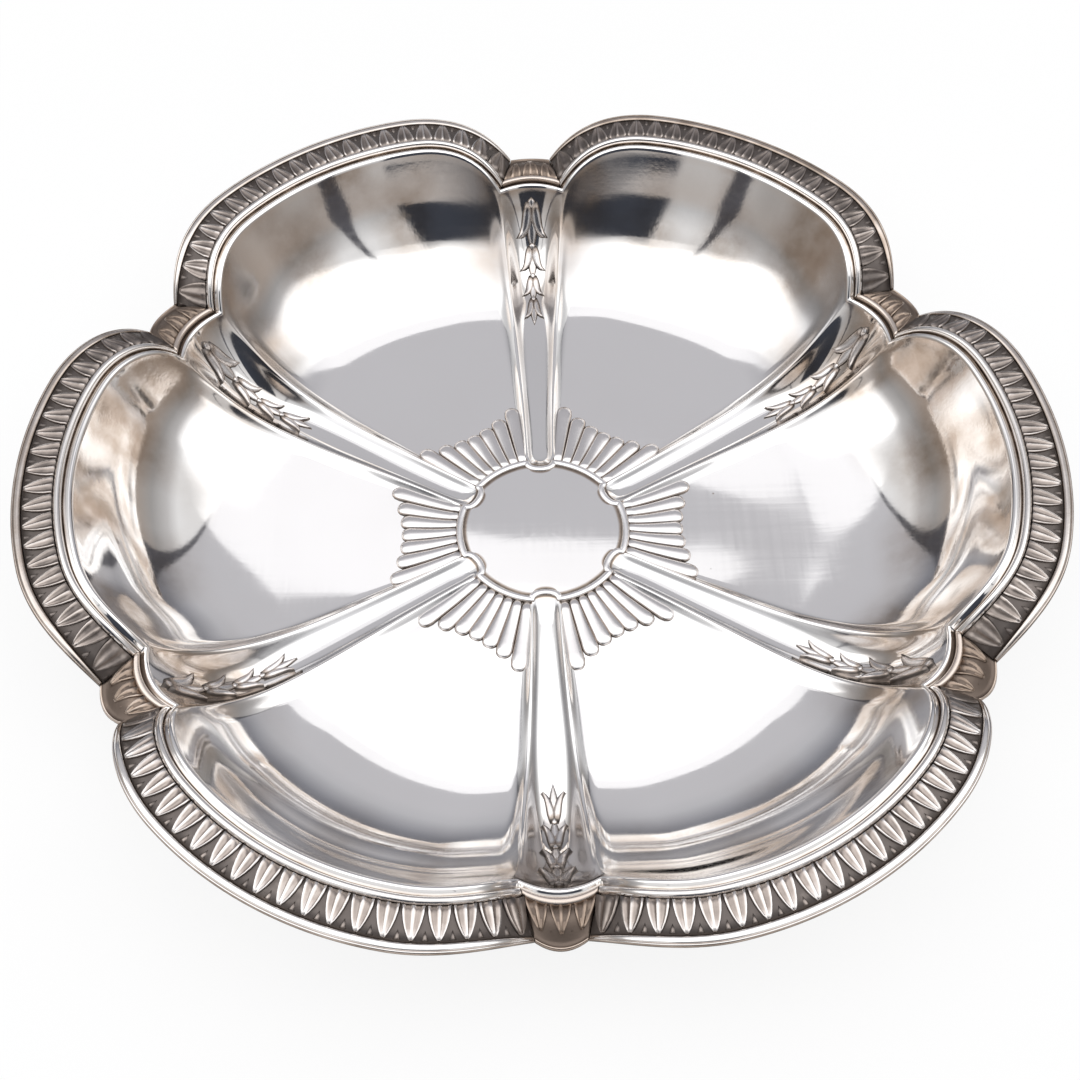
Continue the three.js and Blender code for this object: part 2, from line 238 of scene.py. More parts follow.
ring_angle = there_and_back(ring_spread - from_crest(RING_FOOT * ring_spread, SIDE_AT_RING) / RING_FOOT, -1)
lip_share = there_and_back(1 - from_crest(lip_half_length, SIDE_AT_LIP) / lip_half_length, -1)
hug = there_and_back((1 - half_floor) ** 3, 1)
to_rib = there_and_back((1 - half_floor) ** 2, 1)
side_share = there_and_back(half_side, 1)
hollow_share = np.concatenate([1 - hollow_steps, hollow_steps[-2::-1] - 1])

outward = row_share[:, None]
crest = rib_line(outward, MEDALLION_HEIGHT, CREST_START, CREST_POWER)
trough = rib_line(outward, FLOOR, TROUGH_START, TROUGH_POWER)
well_start = round_ring(ring_angle)
well_plan = well_start + (lip_edge(lip_share) - well_start) * outward[..., None]
pull = beside_rib(np.zeros(1), np.ones(1))[0]
pull_both = np.stack([np.full(lip_share.size, pull[0]), np.sign(lip_share) * pull[1]], -1)
well_plan = well_plan + (hug * flare(outward))[..., None] * pull_both
dished = DISH_RISE * np.sin(math.pi * ramp(outward, DISH_START, 1)) ** 2
crest_lift = crest - well_wall(np.ones(1), outward) - dished
well_height = well_wall(lip_share, outward) + dished * to_rib
well_height = well_height + crest_lift * (1 - rounded(side_share, CREST_ROUND)) ** 2

across = hollow_share
loop = np.sqrt(RING_FOOT**2 - (across * RIB_HALF) ** 2) - LOOP_DEPTH * np.sqrt(1 - across**2)
hollow_start = beside_rib(loop, across * RIB_HALF)
hollow_end = beside_rib(RIB_END_CORNER + RIB_END_BULGE * (1 - across**2), RIB_END_HALF * across)
hollow_plan = hollow_start + (hollow_end - hollow_start) * outward[..., None]
hollow_plan = hollow_plan + beside_rib(0 * across, across * flare(outward))
hollow_depth = (1 - rounded(1 - np.abs(across), CREST_ROUND)) ** HOLLOW_POWER
hollow_height = trough + (crest - trough) * hollow_depth
end_fillet = np.clip(1 - outward * (RIB_END_CORNER - RING_FOOT) / TROUGH_END, 0, 1) ** 2
hollow_height = hollow_height + (MEDALLION_HEIGHT - hollow_height) * end_fillet

body_plan = np.concatenate([well_plan, hollow_plan], 1)
body = with_height(body_plan, np.concatenate([well_height, hollow_height], 1))

# The medallion inside the ring, and the flat that the ring's bead is raised on.
medallion_steps = np.array([0.16, 0.32, 0.48, 0.62, 0.74, 0.84, 0.91, 0.96, 1])[:, None]
medallion_plan = body_plan[0] * (RING_INSIDE / RING_FOOT) * medallion_steps[..., None]
medallion_share = np.linalg.norm(medallion_plan, axis=-1) / RING_INSIDE
medallion_height = MEDALLION_HEIGHT + MEDALLION_DOME * (1 - medallion_share**2)
medallion = with_height(medallion_plan, medallion_height)
ring_seat_plan = body_plan[:1] * RING_RADIUS / RING_FOOT
ring_seat = with_height(ring_seat_plan, np.full(ring_seat_plan.shape[:2], MEDALLION_HEIGHT))

# The lip rolls over from the top of the wall to the groove, and the flange runs out under the
# border. Each row has its distance in from the edge, its height above it and its tarnish.
LIP_PROFILE = (
    (BORDER - 0.0002, -0.0002, 0.12),
    (BORDER - 0.0005, 0.0002, 0.06),
    (BORDER - 0.0009, 0.0005, 0.04),
    (BORDER - 0.0013, 0.0006, 0.03),
    (BORDER - 0.0017, 0.0005, 0.03),
    (BORDER - 0.0021, 0.0002, 0.05),
    (BORDER - 0.0024, 0.0001, 0.12),
    (BORDER - 0.0028, -0.0001, 0.35),
    (BORDER - LIP - GROOVE, -0.0001, 0.35),
    (BORDER - LIP - GROOVE * 1.1, -SEAT_DEPTH, 0.8),
    ((BORDER - LIP) / 2, -SEAT_DEPTH, 0.8),
    (FLANGE_INSET, -SEAT_DEPTH, 0.8),
)
UNDER_SLOPE = 0.35
lip_rows = []
under_rows = []
for inset, rise, _ in LIP_PROFILE:
    wall_foot = (inset - BORDER + LIP + GROOVE) / (LIP + GROOVE)
    under = -SEAT_DEPTH - SHEET - max(0, wall_foot) * (LIP_DROP + SHEET / UNDER_SLOPE - SEAT_DEPTH - SHEET)
    for rows, height in ((lip_rows, rise), (under_rows, under)):
        along_lobe = lobe_border(lip_share, np.full(lip_share.size, inset), height)
        round_rib = corner_border(hollow_share, np.full(hollow_share.size, inset), height)
        rows.append(np.concatenate([along_lobe, round_rib]))
upper = np.concatenate([medallion, ring_seat, body, lip_rows])


def turned(points, lobe):
    """The points of the first lobe, turned to another."""
    cos, sin = math.cos(lobe * TURN), math.sin(lobe * TURN)
    x = points[..., 0] * cos - points[..., 1] * sin
    y = points[..., 0] * sin + points[..., 1] * cos
    return np.stack([x, y, points[..., 2]], -1)


def all_round(points):
    return np.concatenate([turned(points, lobe) for lobe in range(LOBES)], 1)


ring_row = len(medallion)
first_lip = len(upper) - len(LIP_PROFILE)
body_rows = slice(ring_row + 1, first_lip)
upper_all = all_round(upper)
rows_all, columns_all = upper_all.shape[:2]
round_about = np.roll(upper_all, -1, 1) - np.roll(upper_all, 1, 1)
facing = np.cross(np.gradient(upper_all, axis=0), round_about)
slope = np.abs(facing[..., 2]) / np.maximum(np.linalg.norm(facing, axis=-1), 1e-12)
lower_all = upper_all - np.array([0, 0, 1]) * (SHEET / np.maximum(slope, UNDER_SLOPE))[..., None]
lower_all[first_lip:] = all_round(np.array(under_rows))
lower_all[..., 2] = np.maximum(lower_all[..., 2], 0)
lower_all[: ring_row + 1, :, 2] = upper_all[: ring_row + 1, :, 2] - SHEET

# Tarnish stays where polish can't reach: in the groove, at the ring and, in blotches, at the outer
# ends of the ribs. The walls carry a painted reflection in brown and grey, in blotches at their
# outer ends and stronger in the corners. Both are stronger in some lobes than in others.
RING_TARNISH = 0.75
RIB_TARNISH = 0.35
WALL_REFLECTION_TONE = 0.2
CORNER_EXTRA_REFLECTION = 0.5
MOST_SOIL_AND_REFLECTION = 0.36
UNDER_TARNISH = 0.3
RIB_SOIL_START = 0.62
WALL_REFLECTION_START = 0.68
CORNER_SPAN = (0.55, 0.9)
LOBE_SOIL_AND_REFLECTION = (2.0, 1.3, 1.3, 1.5, 1.0, 1.1)
in_hollow = np.arange(upper.shape[1]) >= lip_share.size
in_corner = ramp(np.abs(np.concatenate([lip_share, 0 * hollow_share])), *CORNER_SPAN)
rib_soil = RIB_TARNISH * ramp(outward, RIB_SOIL_START, 1) * in_hollow
# The tone on the walls is painted reflection.
wall_reflection = WALL_REFLECTION_TONE * ramp(outward, WALL_REFLECTION_START, 1) * ~in_hollow * (1 + CORNER_EXTRA_REFLECTION * in_corner)
body_soil_and_reflection = np.tile(np.maximum(rib_soil, wall_reflection), (1, LOBES)) * np.repeat(LOBE_SOIL_AND_REFLECTION, in_hollow.size)
plan_x, plan_y = upper_all[body_rows, :, 0], upper_all[body_rows, :, 1]
blotches = np.sin(150 * plan_x + 60 * plan_y + 1) * np.sin(130 * plan_y - 70 * plan_x + 2)
body_soil_and_reflection = np.minimum(body_soil_and_reflection * np.clip(0.85 + 1.2 * blotches, 0.2, 1.8), MOST_SOIL_AND_REFLECTION)
tarnish_and_painted_light = np.zeros((rows_all, columns_all))
tarnish_and_painted_light[ring_row - 1 : ring_row + 2] = RING_TARNISH
tarnish_and_painted_light[first_lip:] = np.array([row[2] for row in LIP_PROFILE])[:, None]
tarnish_and_painted_light[body_rows] = np.maximum(tarnish_and_painted_light[body_rows], body_soil_and_reflection)

# Polishing by hand leaves a dull stripe on the sides of the ribs and of their hollows, and dull
# corners in the wells, more in some lobes than in others. These dull places are also painted darker,
# as painted shade.
RIB_DULL = 0.6
RIB_STRIPE = (0.45, 0.22)
HOLLOW_DULL = 0.15
STRIPE_DULL = 0.75
HOLLOW_STRIPE = (0.74, 0.13)
CORNER_DULL_SHADE = (0.15, 0.85, 0.85, 0.15, 0.3, 0.3)


def bell(values, middle, width):
    return np.exp(-(((values - middle) / width) ** 2))


rib_side = RIB_DULL * bell(side_share, *RIB_STRIPE)
hollow_side = HOLLOW_DULL + STRIPE_DULL * bell(np.abs(across), *HOLLOW_STRIPE)
rib_dull_shade = np.concatenate([rib_side, hollow_side]) * np.interp(outward, (0.5, 0.9), (1, 0.5))
corner_dull_shade = in_corner * np.interp(outward, (0.62, 0.8), (0, 1))
corner_dull_shade = np.tile(corner_dull_shade, (1, LOBES)) * np.repeat(CORNER_DULL_SHADE, in_hollow.size)
matte = np.zeros((rows_all, columns_all))
matte[body_rows] = np.maximum(np.tile(rib_dull_shade, (1, LOBES)), corner_dull_shade)


def grid_faces(rows, columns, first, flip):
    """Four-cornered faces between the rows of a grid that closes on itself round the dish."""
    i, j = np.meshgrid(np.arange(rows - 1), np.arange(columns), indexing="ij")
    here = i * columns + j
    after = i * columns + (j + 1) % columns
    faces = first + np.stack([here, here + columns, after + columns, after], -1).reshape(-1, 4)
    return faces[:, ::-1] if flip else faces


def soiled_mesh(name, points, faces, soils):
    """A mesh that carries its tarnish and its painted shade and reflection as an attribute."""
    mesh = bpy.data.meshes.new(name)
    mesh.from_pydata(np.asarray(points).reshape(-1, 3).tolist(), [], [list(map(int, f)) for f in faces])
    soil = mesh.attributes.new("tarnish_and_painted_light", "FLOAT", "POINT")
    soil.data.foreach_set("value", np.asarray(soils, dtype=np.float32).ravel())
    return mesh


def new_object(name, data):
    thing = bpy.data.objects.new(name, data)
    bpy.context.scene.collection.objects.link(thing)
    return thing


def new_piece(name, points, faces, material, soils):
    """A smooth mesh object at the origin."""
    mesh = soiled_mesh(name, points, faces, soils)
    mesh.shade_smooth()
    mesh.materials.append(material)
    return new_object(name, mesh)


def new_node(tree, kind, inputs=(), **settings):
    """A node with its settings, whose inputs, by name or place, are set or linked."""
    node = tree.nodes.new(kind)
    for setting, value in settings.items():
        setattr(node, setting, value)
    for place, value in dict(inputs).items():
        if isinstance(value, bpy.types.NodeSocket):
            tree.links.new(value, node.inputs[place])
        else:
            node.inputs[place].default_value = value
    return node


def calc(tree, operation, *values, clamp=False):
    """The result of a sum on values and other nodes' results."""
    node = new_node(tree, "ShaderNodeMath", enumerate(values), operation=operation, use_clamp=clamp)
    return node.outputs[0]


def mix_color(tree, factor, first, second, blend="MIX"):
    parts = {"Factor": factor, "A": first, "B": second}
    return new_node(tree, "ShaderNodeMix", parts, data_type="RGBA", blend_type=blend).outputs["Result"]


def new_tree(name, kind, inputs, outputs):
    """An empty node group, with the sockets of its named inputs and of its named outputs."""
    tree = bpy.data.node_groups.new(name, kind)
    for in_out, sockets in (("INPUT", inputs), ("OUTPUT", outputs)):
        for socket, value_type in sockets.items():
            tree.interface.new_socket(socket, in_out=in_out, socket_type="NodeSocket" + value_type)
    return tree, tree.nodes.new("NodeGroupInput").outputs, tree.nodes.new("NodeGroupOutput").inputs


SPOT_RADIUS = 0.022
SPOT_SHARE = 0.46
BLACK_FROM = 0.45
ROUGH_FROM = 0.35
# The grey tone that dull places are painted with: painted shade.
DULL_SHADE_TONE = (0.42, 0.425, 0.445, 1)
DULL_ROUGHNESS = 0.15
SCRATCH_ROUGHNESS = 0.06
TARNISH_ROUGHNESS = 0.45
TARNISH_GRAIN = 0.1


def aged_and_shaded_silver_group():
    """Silver that is bright where it is rubbed, brown to black where tarnish stays and where shade and
    reflection are painted, with fine scratches.
    """
    amounts = dict.fromkeys(("Tarnish_And_Painted_Light", "Matte", "Soil", "Polish", "Scratch", "Wave", "Pits"), "Float")
    tones = dict.fromkeys(("Bright", "Brown", "Black"), "Color")
    results = {"Color": "Color", "Roughness": "Float", "Height": "Float"}
    tree, given, result = new_tree("aged_and_shaded_silver", "ShaderNodeTree", {**amounts, **tones}, results)
    place = tree.nodes.new("ShaderNodeTexCoord").outputs["Object"]

    def noise(scale, detail, stretch=(1, 1, 1), turn=0.0):
        shift = {"Vector": place, "Scale": stretch, "Rotation": (0, 0, turn)}
        grid = new_node(tree, "ShaderNodeMapping", shift).outputs["Vector"]
        sizes = {"Vector": grid, "Scale": scale, "Detail": detail}
        return new_node(tree, "ShaderNodeTexNoise", sizes).outputs["Fac"]

    def times(first, second, clamp=False):
        return calc(tree, "MULTIPLY", first, second, clamp=clamp)

    def plus(first, second, clamp=False):
        return calc(tree, "ADD", first, second, clamp=clamp)

    def past(value, start):
        return calc(tree, "SUBTRACT", value, start, clamp=True)

    # Patches of tarnish and painted shade, a thin haze and small pits make one mask, from bright through
    # brown to black.
    patches = noise(scale=160, detail=4)
    soil = times(given["Tarnish_And_Painted_Light"], calc(tree, "MULTIPLY_ADD", patches, 1.2, 0.4))
    haze = times(given["Soil"], calc(tree, "POWER", noise(scale=22, detail=3), 2))
    cells = new_node(tree, "ShaderNodeTexVoronoi", {"Vector": place, "Scale": 60}).outputs["Distance"]
    spots = times(calc(tree, "LESS_THAN", cells, SPOT_RADIUS), calc(tree, "LESS_THAN", patches, SPOT_SHARE))
    mask = plus(plus(soil, haze), times(spots, given["Pits"]), clamp=True)
    # Dull places are painted darker here, as painted shade.
    dulled_and_shaded = mix_color(tree, given["Matte"], given["Bright"], DULL_SHADE_TONE, "MULTIPLY")
    toned = mix_color(tree, times(mask, 2.0, clamp=True), dulled_and_shaded, given["Brown"])
    color = mix_color(tree, times(past(mask, BLACK_FROM), 2.2, clamp=True), toned, given["Black"])

    # Crossed scratches and soft waves give the height. Tarnish, dull places and scratches are rougher.
    scratches = plus(noise(700, 2, (1, 0.03, 1), 0.5), noise(620, 2, (0.03, 1, 1), 0.2))
    rough = plus(given["Polish"], times(past(mask, ROUGH_FROM), TARNISH_ROUGHNESS))
    rough = plus(rough, times(given["Matte"], DULL_ROUGHNESS))
    rough = plus(rough, times(calc(tree, "SUBTRACT", scratches, 0.9), SCRATCH_ROUGHNESS), clamp=True)
    grain = times(noise(scale=900, detail=3), times(mask, TARNISH_GRAIN))
    height = plus(times(scratches, given["Scratch"]), grain)
    height = plus(height, times(noise(scale=16, detail=0), given["Wave"]))
    for name, value in (("Color", color), ("Roughness", rough), ("Height", height)):
        tree.links.new(value, result[name])
    return tree


aged_and_shaded_silver = aged_and_shaded_silver_group()


def silver_material(name, bright, brown, black, **finish):
    """A silver with its own tones and finish, whose tarnish, painted shade and dull places are read from the
    mesh.
    """
    material = bpy.data.materials.new(name)
    material.use_nodes = True
    tree = material.node_tree
    looks = {word.capitalize(): amount for word, amount in finish.items()}
    for tone, color in (("Bright", bright), ("Brown", brown), ("Black", black)):
        looks[tone] = (*color, 1)
    for mask in ("Tarnish_And_Painted_Light", "Matte"):
        looks[mask] = new_node(tree, "ShaderNodeAttribute", attribute_name=mask.lower()).outputs["Fac"]
    look = new_node(tree, "ShaderNodeGroup", looks, node_tree=aged_and_shaded_silver).outputs
    relief = new_node(tree, "ShaderNodeBump", {"Strength": 0.5, "Distance": 0.0005, "Height": look["Height"]})
    shader = tree.nodes["Principled BSDF"].inputs
    shader["Metallic"].default_value = 1
    tree.links.new(look["Color"], shader["Base Color"])
    tree.links.new(look["Roughness"], shader["Roughness"])
    tree.links.new(relief.outputs["Normal"], shader["Normal"])
    return material


sheet_silver = silver_material(
    "sheet_silver", bright=(0.93, 0.92, 0.91), brown=(0.43, 0.35, 0.285), black=(0.1, 0.085, 0.075),
    polish=0.06, scratch=0.01, soil=0.06, wave=9, pits=0.55,
)

upper_count = 1 + rows_all * columns_all
rim_row = 1 + (rows_all - 1) * columns_all
top = np.array([[0, 0, MEDALLION_HEIGHT + MEDALLION_DOME]])
sheet_points = np.concatenate([top, upper_all.reshape(-1, 3), top - [0, 0, SHEET], lower_all.reshape(-1, 3)])
sheet_faces = [
    *grid_faces(rows_all, columns_all, 1, False),
    *grid_faces(rows_all, columns_all, upper_count + 1, True),
]
for j in range(columns_all):
    after = (j + 1) % columns_all
    sheet_faces.append((0, 1 + j, 1 + after))
    sheet_faces.append((upper_count, upper_count + 1 + after, upper_count + 1 + j))
    here, beyond = rim_row + j, rim_row + after
    sheet_faces.append((here, here + upper_count, beyond + upper_count, beyond))
under_tarnish = np.full(1 + tarnish_and_painted_light.size, UNDER_TARNISH)
sheet_soil_and_light = np.concatenate([[0], tarnish_and_painted_light.ravel(), under_tarnish])
# The underside is dull all over and painted darker: painted shade.
sheet_dull_shade = np.concatenate([[0], matte.ravel(), np.ones(1 + matte.size)])
dish_sheet = new_piece("dish_sheet_skin", sheet_points, sheet_faces, sheet_silver, sheet_soil_and_light)
dish_sheet.data.attributes.new("matte", "FLOAT", "POINT").data.foreach_set("value", sheet_dull_shade)
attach(dish_sheet, "root")
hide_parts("dish_sheet")

# The medallion's ring. A raised bead chased in the sheet, round the medallion and in round the
# closed end of each rib, its foot painted dark as a painted reflection. An oval section follows its line.
RING_HALF_HEIGHT = 0.0008
RING_HALF_WIDTH = 0.0012
RING_SINK = 0.0001
RING_REFLECTION_TOP = 0.0004
RING_REFLECTION_FADE = 0.0005
chased_silver = silver_material(
    "chased_silver", bright=(0.79, 0.78, 0.785), brown=(0.42, 0.355, 0.31), black=(0.12, 0.106, 0.098),
    polish=0.2, scratch=0.03, soil=0.12, wave=0.5,
)


def ring_line():
    """The bead's middle line, one lobe and one loop after another."""
    angle = np.linspace(-1, 1, 25) * (TURN / 2 - math.asin(RIB_HALF / RING_RADIUS))
    arc = RING_RADIUS * np.stack([np.cos(angle), np.sin(angle)], -1)
    turn = np.linspace(0, math.pi, 19)[1:-1]
    aside = RIB_HALF * np.cos(turn)
    out = np.sqrt(RING_RADIUS**2 - aside**2) - LOOP_DEPTH * np.sin(turn)
    plan = np.concatenate([arc, beside_rib(out, aside)])
    line = with_height(plan, np.full(len(plan), MEDALLION_HEIGHT - RING_SINK))
    return np.concatenate([turned(line, lobe) for lobe in range(LOBES)])


def shaping_tree(name, **sizes):
    """A geometry tree with a shape, named sizes and a material as its inputs."""
    named = {size.replace("_", " ").title(): value_type for size, value_type in sizes.items()}
    inputs = {"Geometry": "Geometry", **named, "Material": "Material"}
    return new_tree(name, "GeometryNodeTree", inputs, {"Geometry": "Geometry"})


def end_tree(tree, shape, material, result):
    """Ends a tree: copies are made real and get their material."""
    real = new_node(tree, "GeometryNodeRealizeInstances", {"Geometry": shape}).outputs["Geometry"]
    finish = new_node(tree, "GeometryNodeSetMaterial", {"Geometry": real, "Material": material})
    tree.links.new(finish.outputs["Geometry"], result["Geometry"])


def vector(tree, x, y, z):
    return new_node(tree, "ShaderNodeCombineXYZ", enumerate((x, y, z))).outputs["Vector"]


def bead_tree():
    """Sweeps an oval section along the object's own curve."""
    tree, given, result = shaping_tree("bead_along_line", half_width="Float", half_height="Float")
    circle = new_node(tree, "GeometryNodeCurvePrimitiveCircle", {"Resolution": 16, "Radius": 1})
    scale = vector(tree, given["Half Width"], given["Half Height"], 0)
    oval = new_node(tree, "GeometryNodeTransform", {"Geometry": circle.outputs["Curve"], "Scale": scale})
    lines = {"Curve": given["Geometry"], "Profile Curve": oval.outputs["Geometry"]}
    sweep = new_node(tree, "GeometryNodeCurveToMesh", lines)
    end_tree(tree, sweep.outputs["Mesh"], given["Material"], result)
    return tree


def grown(seed, tree, values):
    """Points, faces and tarnish, painted shade included, of what a node tree makes from a seed object, which
    is then removed.
    """
    modifier = seed.modifiers.new(tree.name, "NODES")
    modifier.node_group = tree
    for item in tree.interface.items_tree:
        if item.in_out == "INPUT" and item.name in values:
            modifier[item.identifier] = values[item.name]
    bpy.context.view_layer.update()
    mesh = bpy.data.meshes.new_from_object(seed.evaluated_get(bpy.context.evaluated_depsgraph_get()))
    seed.modifiers.remove(modifier)
    bpy.data.objects.remove(seed)
    points = np.empty(len(mesh.vertices) * 3)
    mesh.vertices.foreach_get("co", points)
    faces = [tuple(face.vertices) for face in mesh.polygons]
    soils = np.zeros(len(mesh.vertices))
    if "tarnish_and_painted_light" in mesh.attributes:
        mesh.attributes["tarnish_and_painted_light"].data.foreach_get("value", soils)
    bpy.data.meshes.remove(mesh)
    return points.reshape(-1, 3), faces, soils


line = ring_line()
ring_curve = bpy.data.curves.new("ring_line", "CURVE")
ring_curve.dimensions = "3D"
spline = ring_curve.splines.new("POLY")
spline.points.add(len(line) - 1)
spline.points.foreach_set("co", np.concatenate([line, np.ones((len(line), 1))], 1).ravel())
spline.use_cyclic_u = True
ring_sizes = {"Half Width": RING_HALF_WIDTH, "Half Height": RING_HALF_HEIGHT, "Material": chased_silver}
ring_points, ring_faces, _ = grown(new_object("ring_line", ring_curve), bead_tree(), ring_sizes)
# The lower half of the bead is painted dark: a painted reflection.
ring_dark_reflection = (MEDALLION_HEIGHT + RING_REFLECTION_TOP - ring_points[:, 2]) / RING_REFLECTION_FADE
ring_dark_reflection = np.clip(ring_dark_reflection, 0, 0.9)
medallion_ring = new_piece("medallion_ring", ring_points, ring_faces, chased_silver, ring_dark_reflection)
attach(medallion_ring, "root")
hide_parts("dish_sheet")

# The flutes. Tapered round-ended rods chased in the floor of each well, fanned out from the ring.
# Every fan has the same rod, longer beside the ribs.
FLUTES = 7
FLUTE_REACH = 0.046
FLUTE_REACH_SIDE = 0.0505
FLUTE_RISE = 0.0013
FLUTE_WIDTH = 0.0058
FLUTE_TAPER = 0.5
FLUTE_FAN = math.radians(25)
FLUTE_START = RING_RADIUS + 0.0004
FLUTE_SINK = 0.0003
FLUTE_ROUND = 0.86
FLUTE_SLOPE = 0.6


def tube_faces(count, sides):
    """The faces of a closed bar through a number of like sections."""
    faces = []
    for i in range(count - 1):
        for j in range(sides):
            here, after = i * sides + j, i * sides + (j + 1) % sides
            faces.append((here, after, after + sides, here + sides))
    faces.append(tuple(reversed(range(sides))))
    faces.append(tuple(range((count - 1) * sides, count * sides)))
    return faces


def flute_mesh():
    """A rod of unit length and width on its flat, narrow and high at the ring and round at its far end."""
    along = np.array([0, 0.15, 0.3, 0.45, 0.6, 0.76, 0.86, 0.93, 0.97, 0.99, 1])[:, None]
    around = np.radians([0, 9, 22, 42, 66, 90, 114, 138, 158, 171, 180])
    end = np.maximum(np.sqrt(1 - ramp(along, FLUTE_ROUND, 1) ** 2), 0.02)
    half = 0.5 * (FLUTE_TAPER + (1 - FLUTE_TAPER) * along) * end
    slope = np.clip(1 - along / FLUTE_SLOPE, 0, 1) ** 2
    y = half * np.cos(around)
    z = FAN_RISE / FLUTE_RISE * slope + end * (1 - 0.5 * slope) * np.sin(around) ** 0.7
    z[:, [0, -1]] -= FLUTE_SINK / FLUTE_RISE
    # The sides and foot of each rod are painted dark and its top bright: painted shade.
    soils = np.interp(np.sin(around), (0, 0.16, 0.4, 0.7), (1, 0.85, 0.4, 0.06))
    faces = [(face[0], *face[:0:-1]) for face in tube_faces(*y.shape)]
    points = np.stack([np.broadcast_to(along, y.shape), y, z], -1)
    return soiled_mesh("flute", points, faces, np.broadcast_to(soils, y.shape))


def copies(tree, count, shape, position, turn, scale):
    """Copies of a shape on a number of points, turned about the axis."""
    points = new_node(tree, "GeometryNodePoints", {"Count": count, "Position": position})
    rotation = new_node(tree, "FunctionNodeEulerToRotation", {0: vector(tree, 0, 0, turn)})
    parts = {"Points": points.outputs[0], "Instance": shape, "Rotation": rotation.outputs[0], "Scale": scale}
    return new_node(tree, "GeometryNodeInstanceOnPoints", parts).outputs["Instances"]


def fan_tree():
    """Sets the object's own rod in a fan, then sets the fan round the axis once for each lobe."""
    lengths = ("start", "spread", "fan", "reach", "side_reach", "width", "rise", "floor")
    sizes = dict.fromkeys(lengths, "Float")
    tree, given, result = shaping_tree("fans_of_flutes", flutes="Int", fans="Int", **sizes)
    number = tree.nodes.new("GeometryNodeInputIndex").outputs[0]
    middle = calc(tree, "SUBTRACT", calc(tree, "MULTIPLY_ADD", number, 2, 1), given["Flutes"])
    across = calc(tree, "DIVIDE", middle, given["Flutes"])
    angle = calc(tree, "MULTIPLY", across, given["Spread"])
    start_x = calc(tree, "MULTIPLY", given["Start"], calc(tree, "COSINE", angle))
    start_y = calc(tree, "MULTIPLY", given["Start"], calc(tree, "SINE", angle))
    start = vector(tree, start_x, start_y, given["Floor"])
    lean = calc(tree, "MULTIPLY", across, given["Fan"])
    longer = calc(tree, "SUBTRACT", given["Side Reach"], given["Reach"])
    reach = calc(tree, "MULTIPLY_ADD", calc(tree, "MULTIPLY", across, across), longer, given["Reach"])
    length = calc(tree, "DIVIDE", calc(tree, "SUBTRACT", reach, start_x), calc(tree, "COSINE", lean))
    size = vector(tree, length, given["Width"], given["Rise"])
    fan = copies(tree, given["Flutes"], given["Geometry"], start, lean, size)
    turn = calc(tree, "MULTIPLY", number, calc(tree, "DIVIDE", 2 * math.pi, given["Fans"]))
    fans = copies(tree, given["Fans"], fan, (0, 0, 0), turn, (1, 1, 1))
    end_tree(tree, fans, given["Material"], result)
    return tree


flute_sizes = {
    "Flutes": FLUTES,
    "Fans": LOBES,
    "Start": FLUTE_START,
    "Spread": ring_spread,
    "Fan": FLUTE_FAN,
    "Reach": FLUTE_REACH,
    "Side Reach": FLUTE_REACH_SIDE,
    "Width": FLUTE_WIDTH,
    "Rise": FLUTE_RISE,
    "Floor": FLOOR,
    "Material": chased_silver,
}
flute_points, flute_faces, flute_shade = grown(new_object("flute", flute_mesh()), fan_tree(), flute_sizes)
flutes = new_piece("flutes", flute_points, flute_faces, chased_silver, flute_shade)
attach(flutes, "root")
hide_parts("dish_sheet")

# The husks. A chain of four bellflowers chased down the hollow of each rib, each with two petals that
# curl out, a pointed petal between them and a small cap, brown in their outlines.
HUSK_JOINTS = (0.1285, 0.119, 0.1104, 0.1014, 0.0907)
HUSK_WIDTHS = (0.0098, 0.0078, 0.0067, 0.0062)
HUSK_RELIEF = 0.0009
HUSK_SINK = 0.3
ABOVE_DISH = 0.2
PETAL_LINES = (-1.0, -0.87, -0.66, 0.0, 0.66, 0.87, 1.0)
PETAL_RELIEFS = (-HUSK_SINK, 0.3, 0.85, 1.0, 0.85, 0.3, -HUSK_SINK)
PETAL_SOILS = (1.0, 1.0, 0.25, 0.0, 0.25, 1.0, 1.0)


def facing_out(points, faces):
    """The faces turned so that the closed shape that they make has a volume above nought."""
    volume = 0.0
    for face in faces:
        for k in range(1, len(face) - 1):
            volume += np.dot(points[face[0]], np.cross(points[face[k]], points[face[k + 1]]))
    return faces if volume > 0 else [tuple(reversed(face)) for face in faces]


def petal(middle, half_widths, height):
    """A low pointed petal along a line, as points, faces and soils."""
    run = np.gradient(middle, axis=0)
    run /= np.linalg.norm(run, axis=1, keepdims=True)
    side = np.stack([-run[:, 1], run[:, 0]], -1)
    points, soils = [], []
    end_soils = np.interp(np.arange(len(middle)), (0, 2, len(middle) - 1), (0.9, 0, 0.3))
    for place, across, half, end_soil in zip(middle, side, half_widths, end_soils):
        for line, relief, soil in zip(PETAL_LINES, PETAL_RELIEFS, PETAL_SOILS):
            x, y = place + across * half * line
            points.append((x, y, relief * (height if relief > 0 else 1)))
            soils.append(max(soil, end_soil))
    points = np.array(points)
    return points, facing_out(points, tube_faces(len(middle), len(PETAL_LINES))), soils


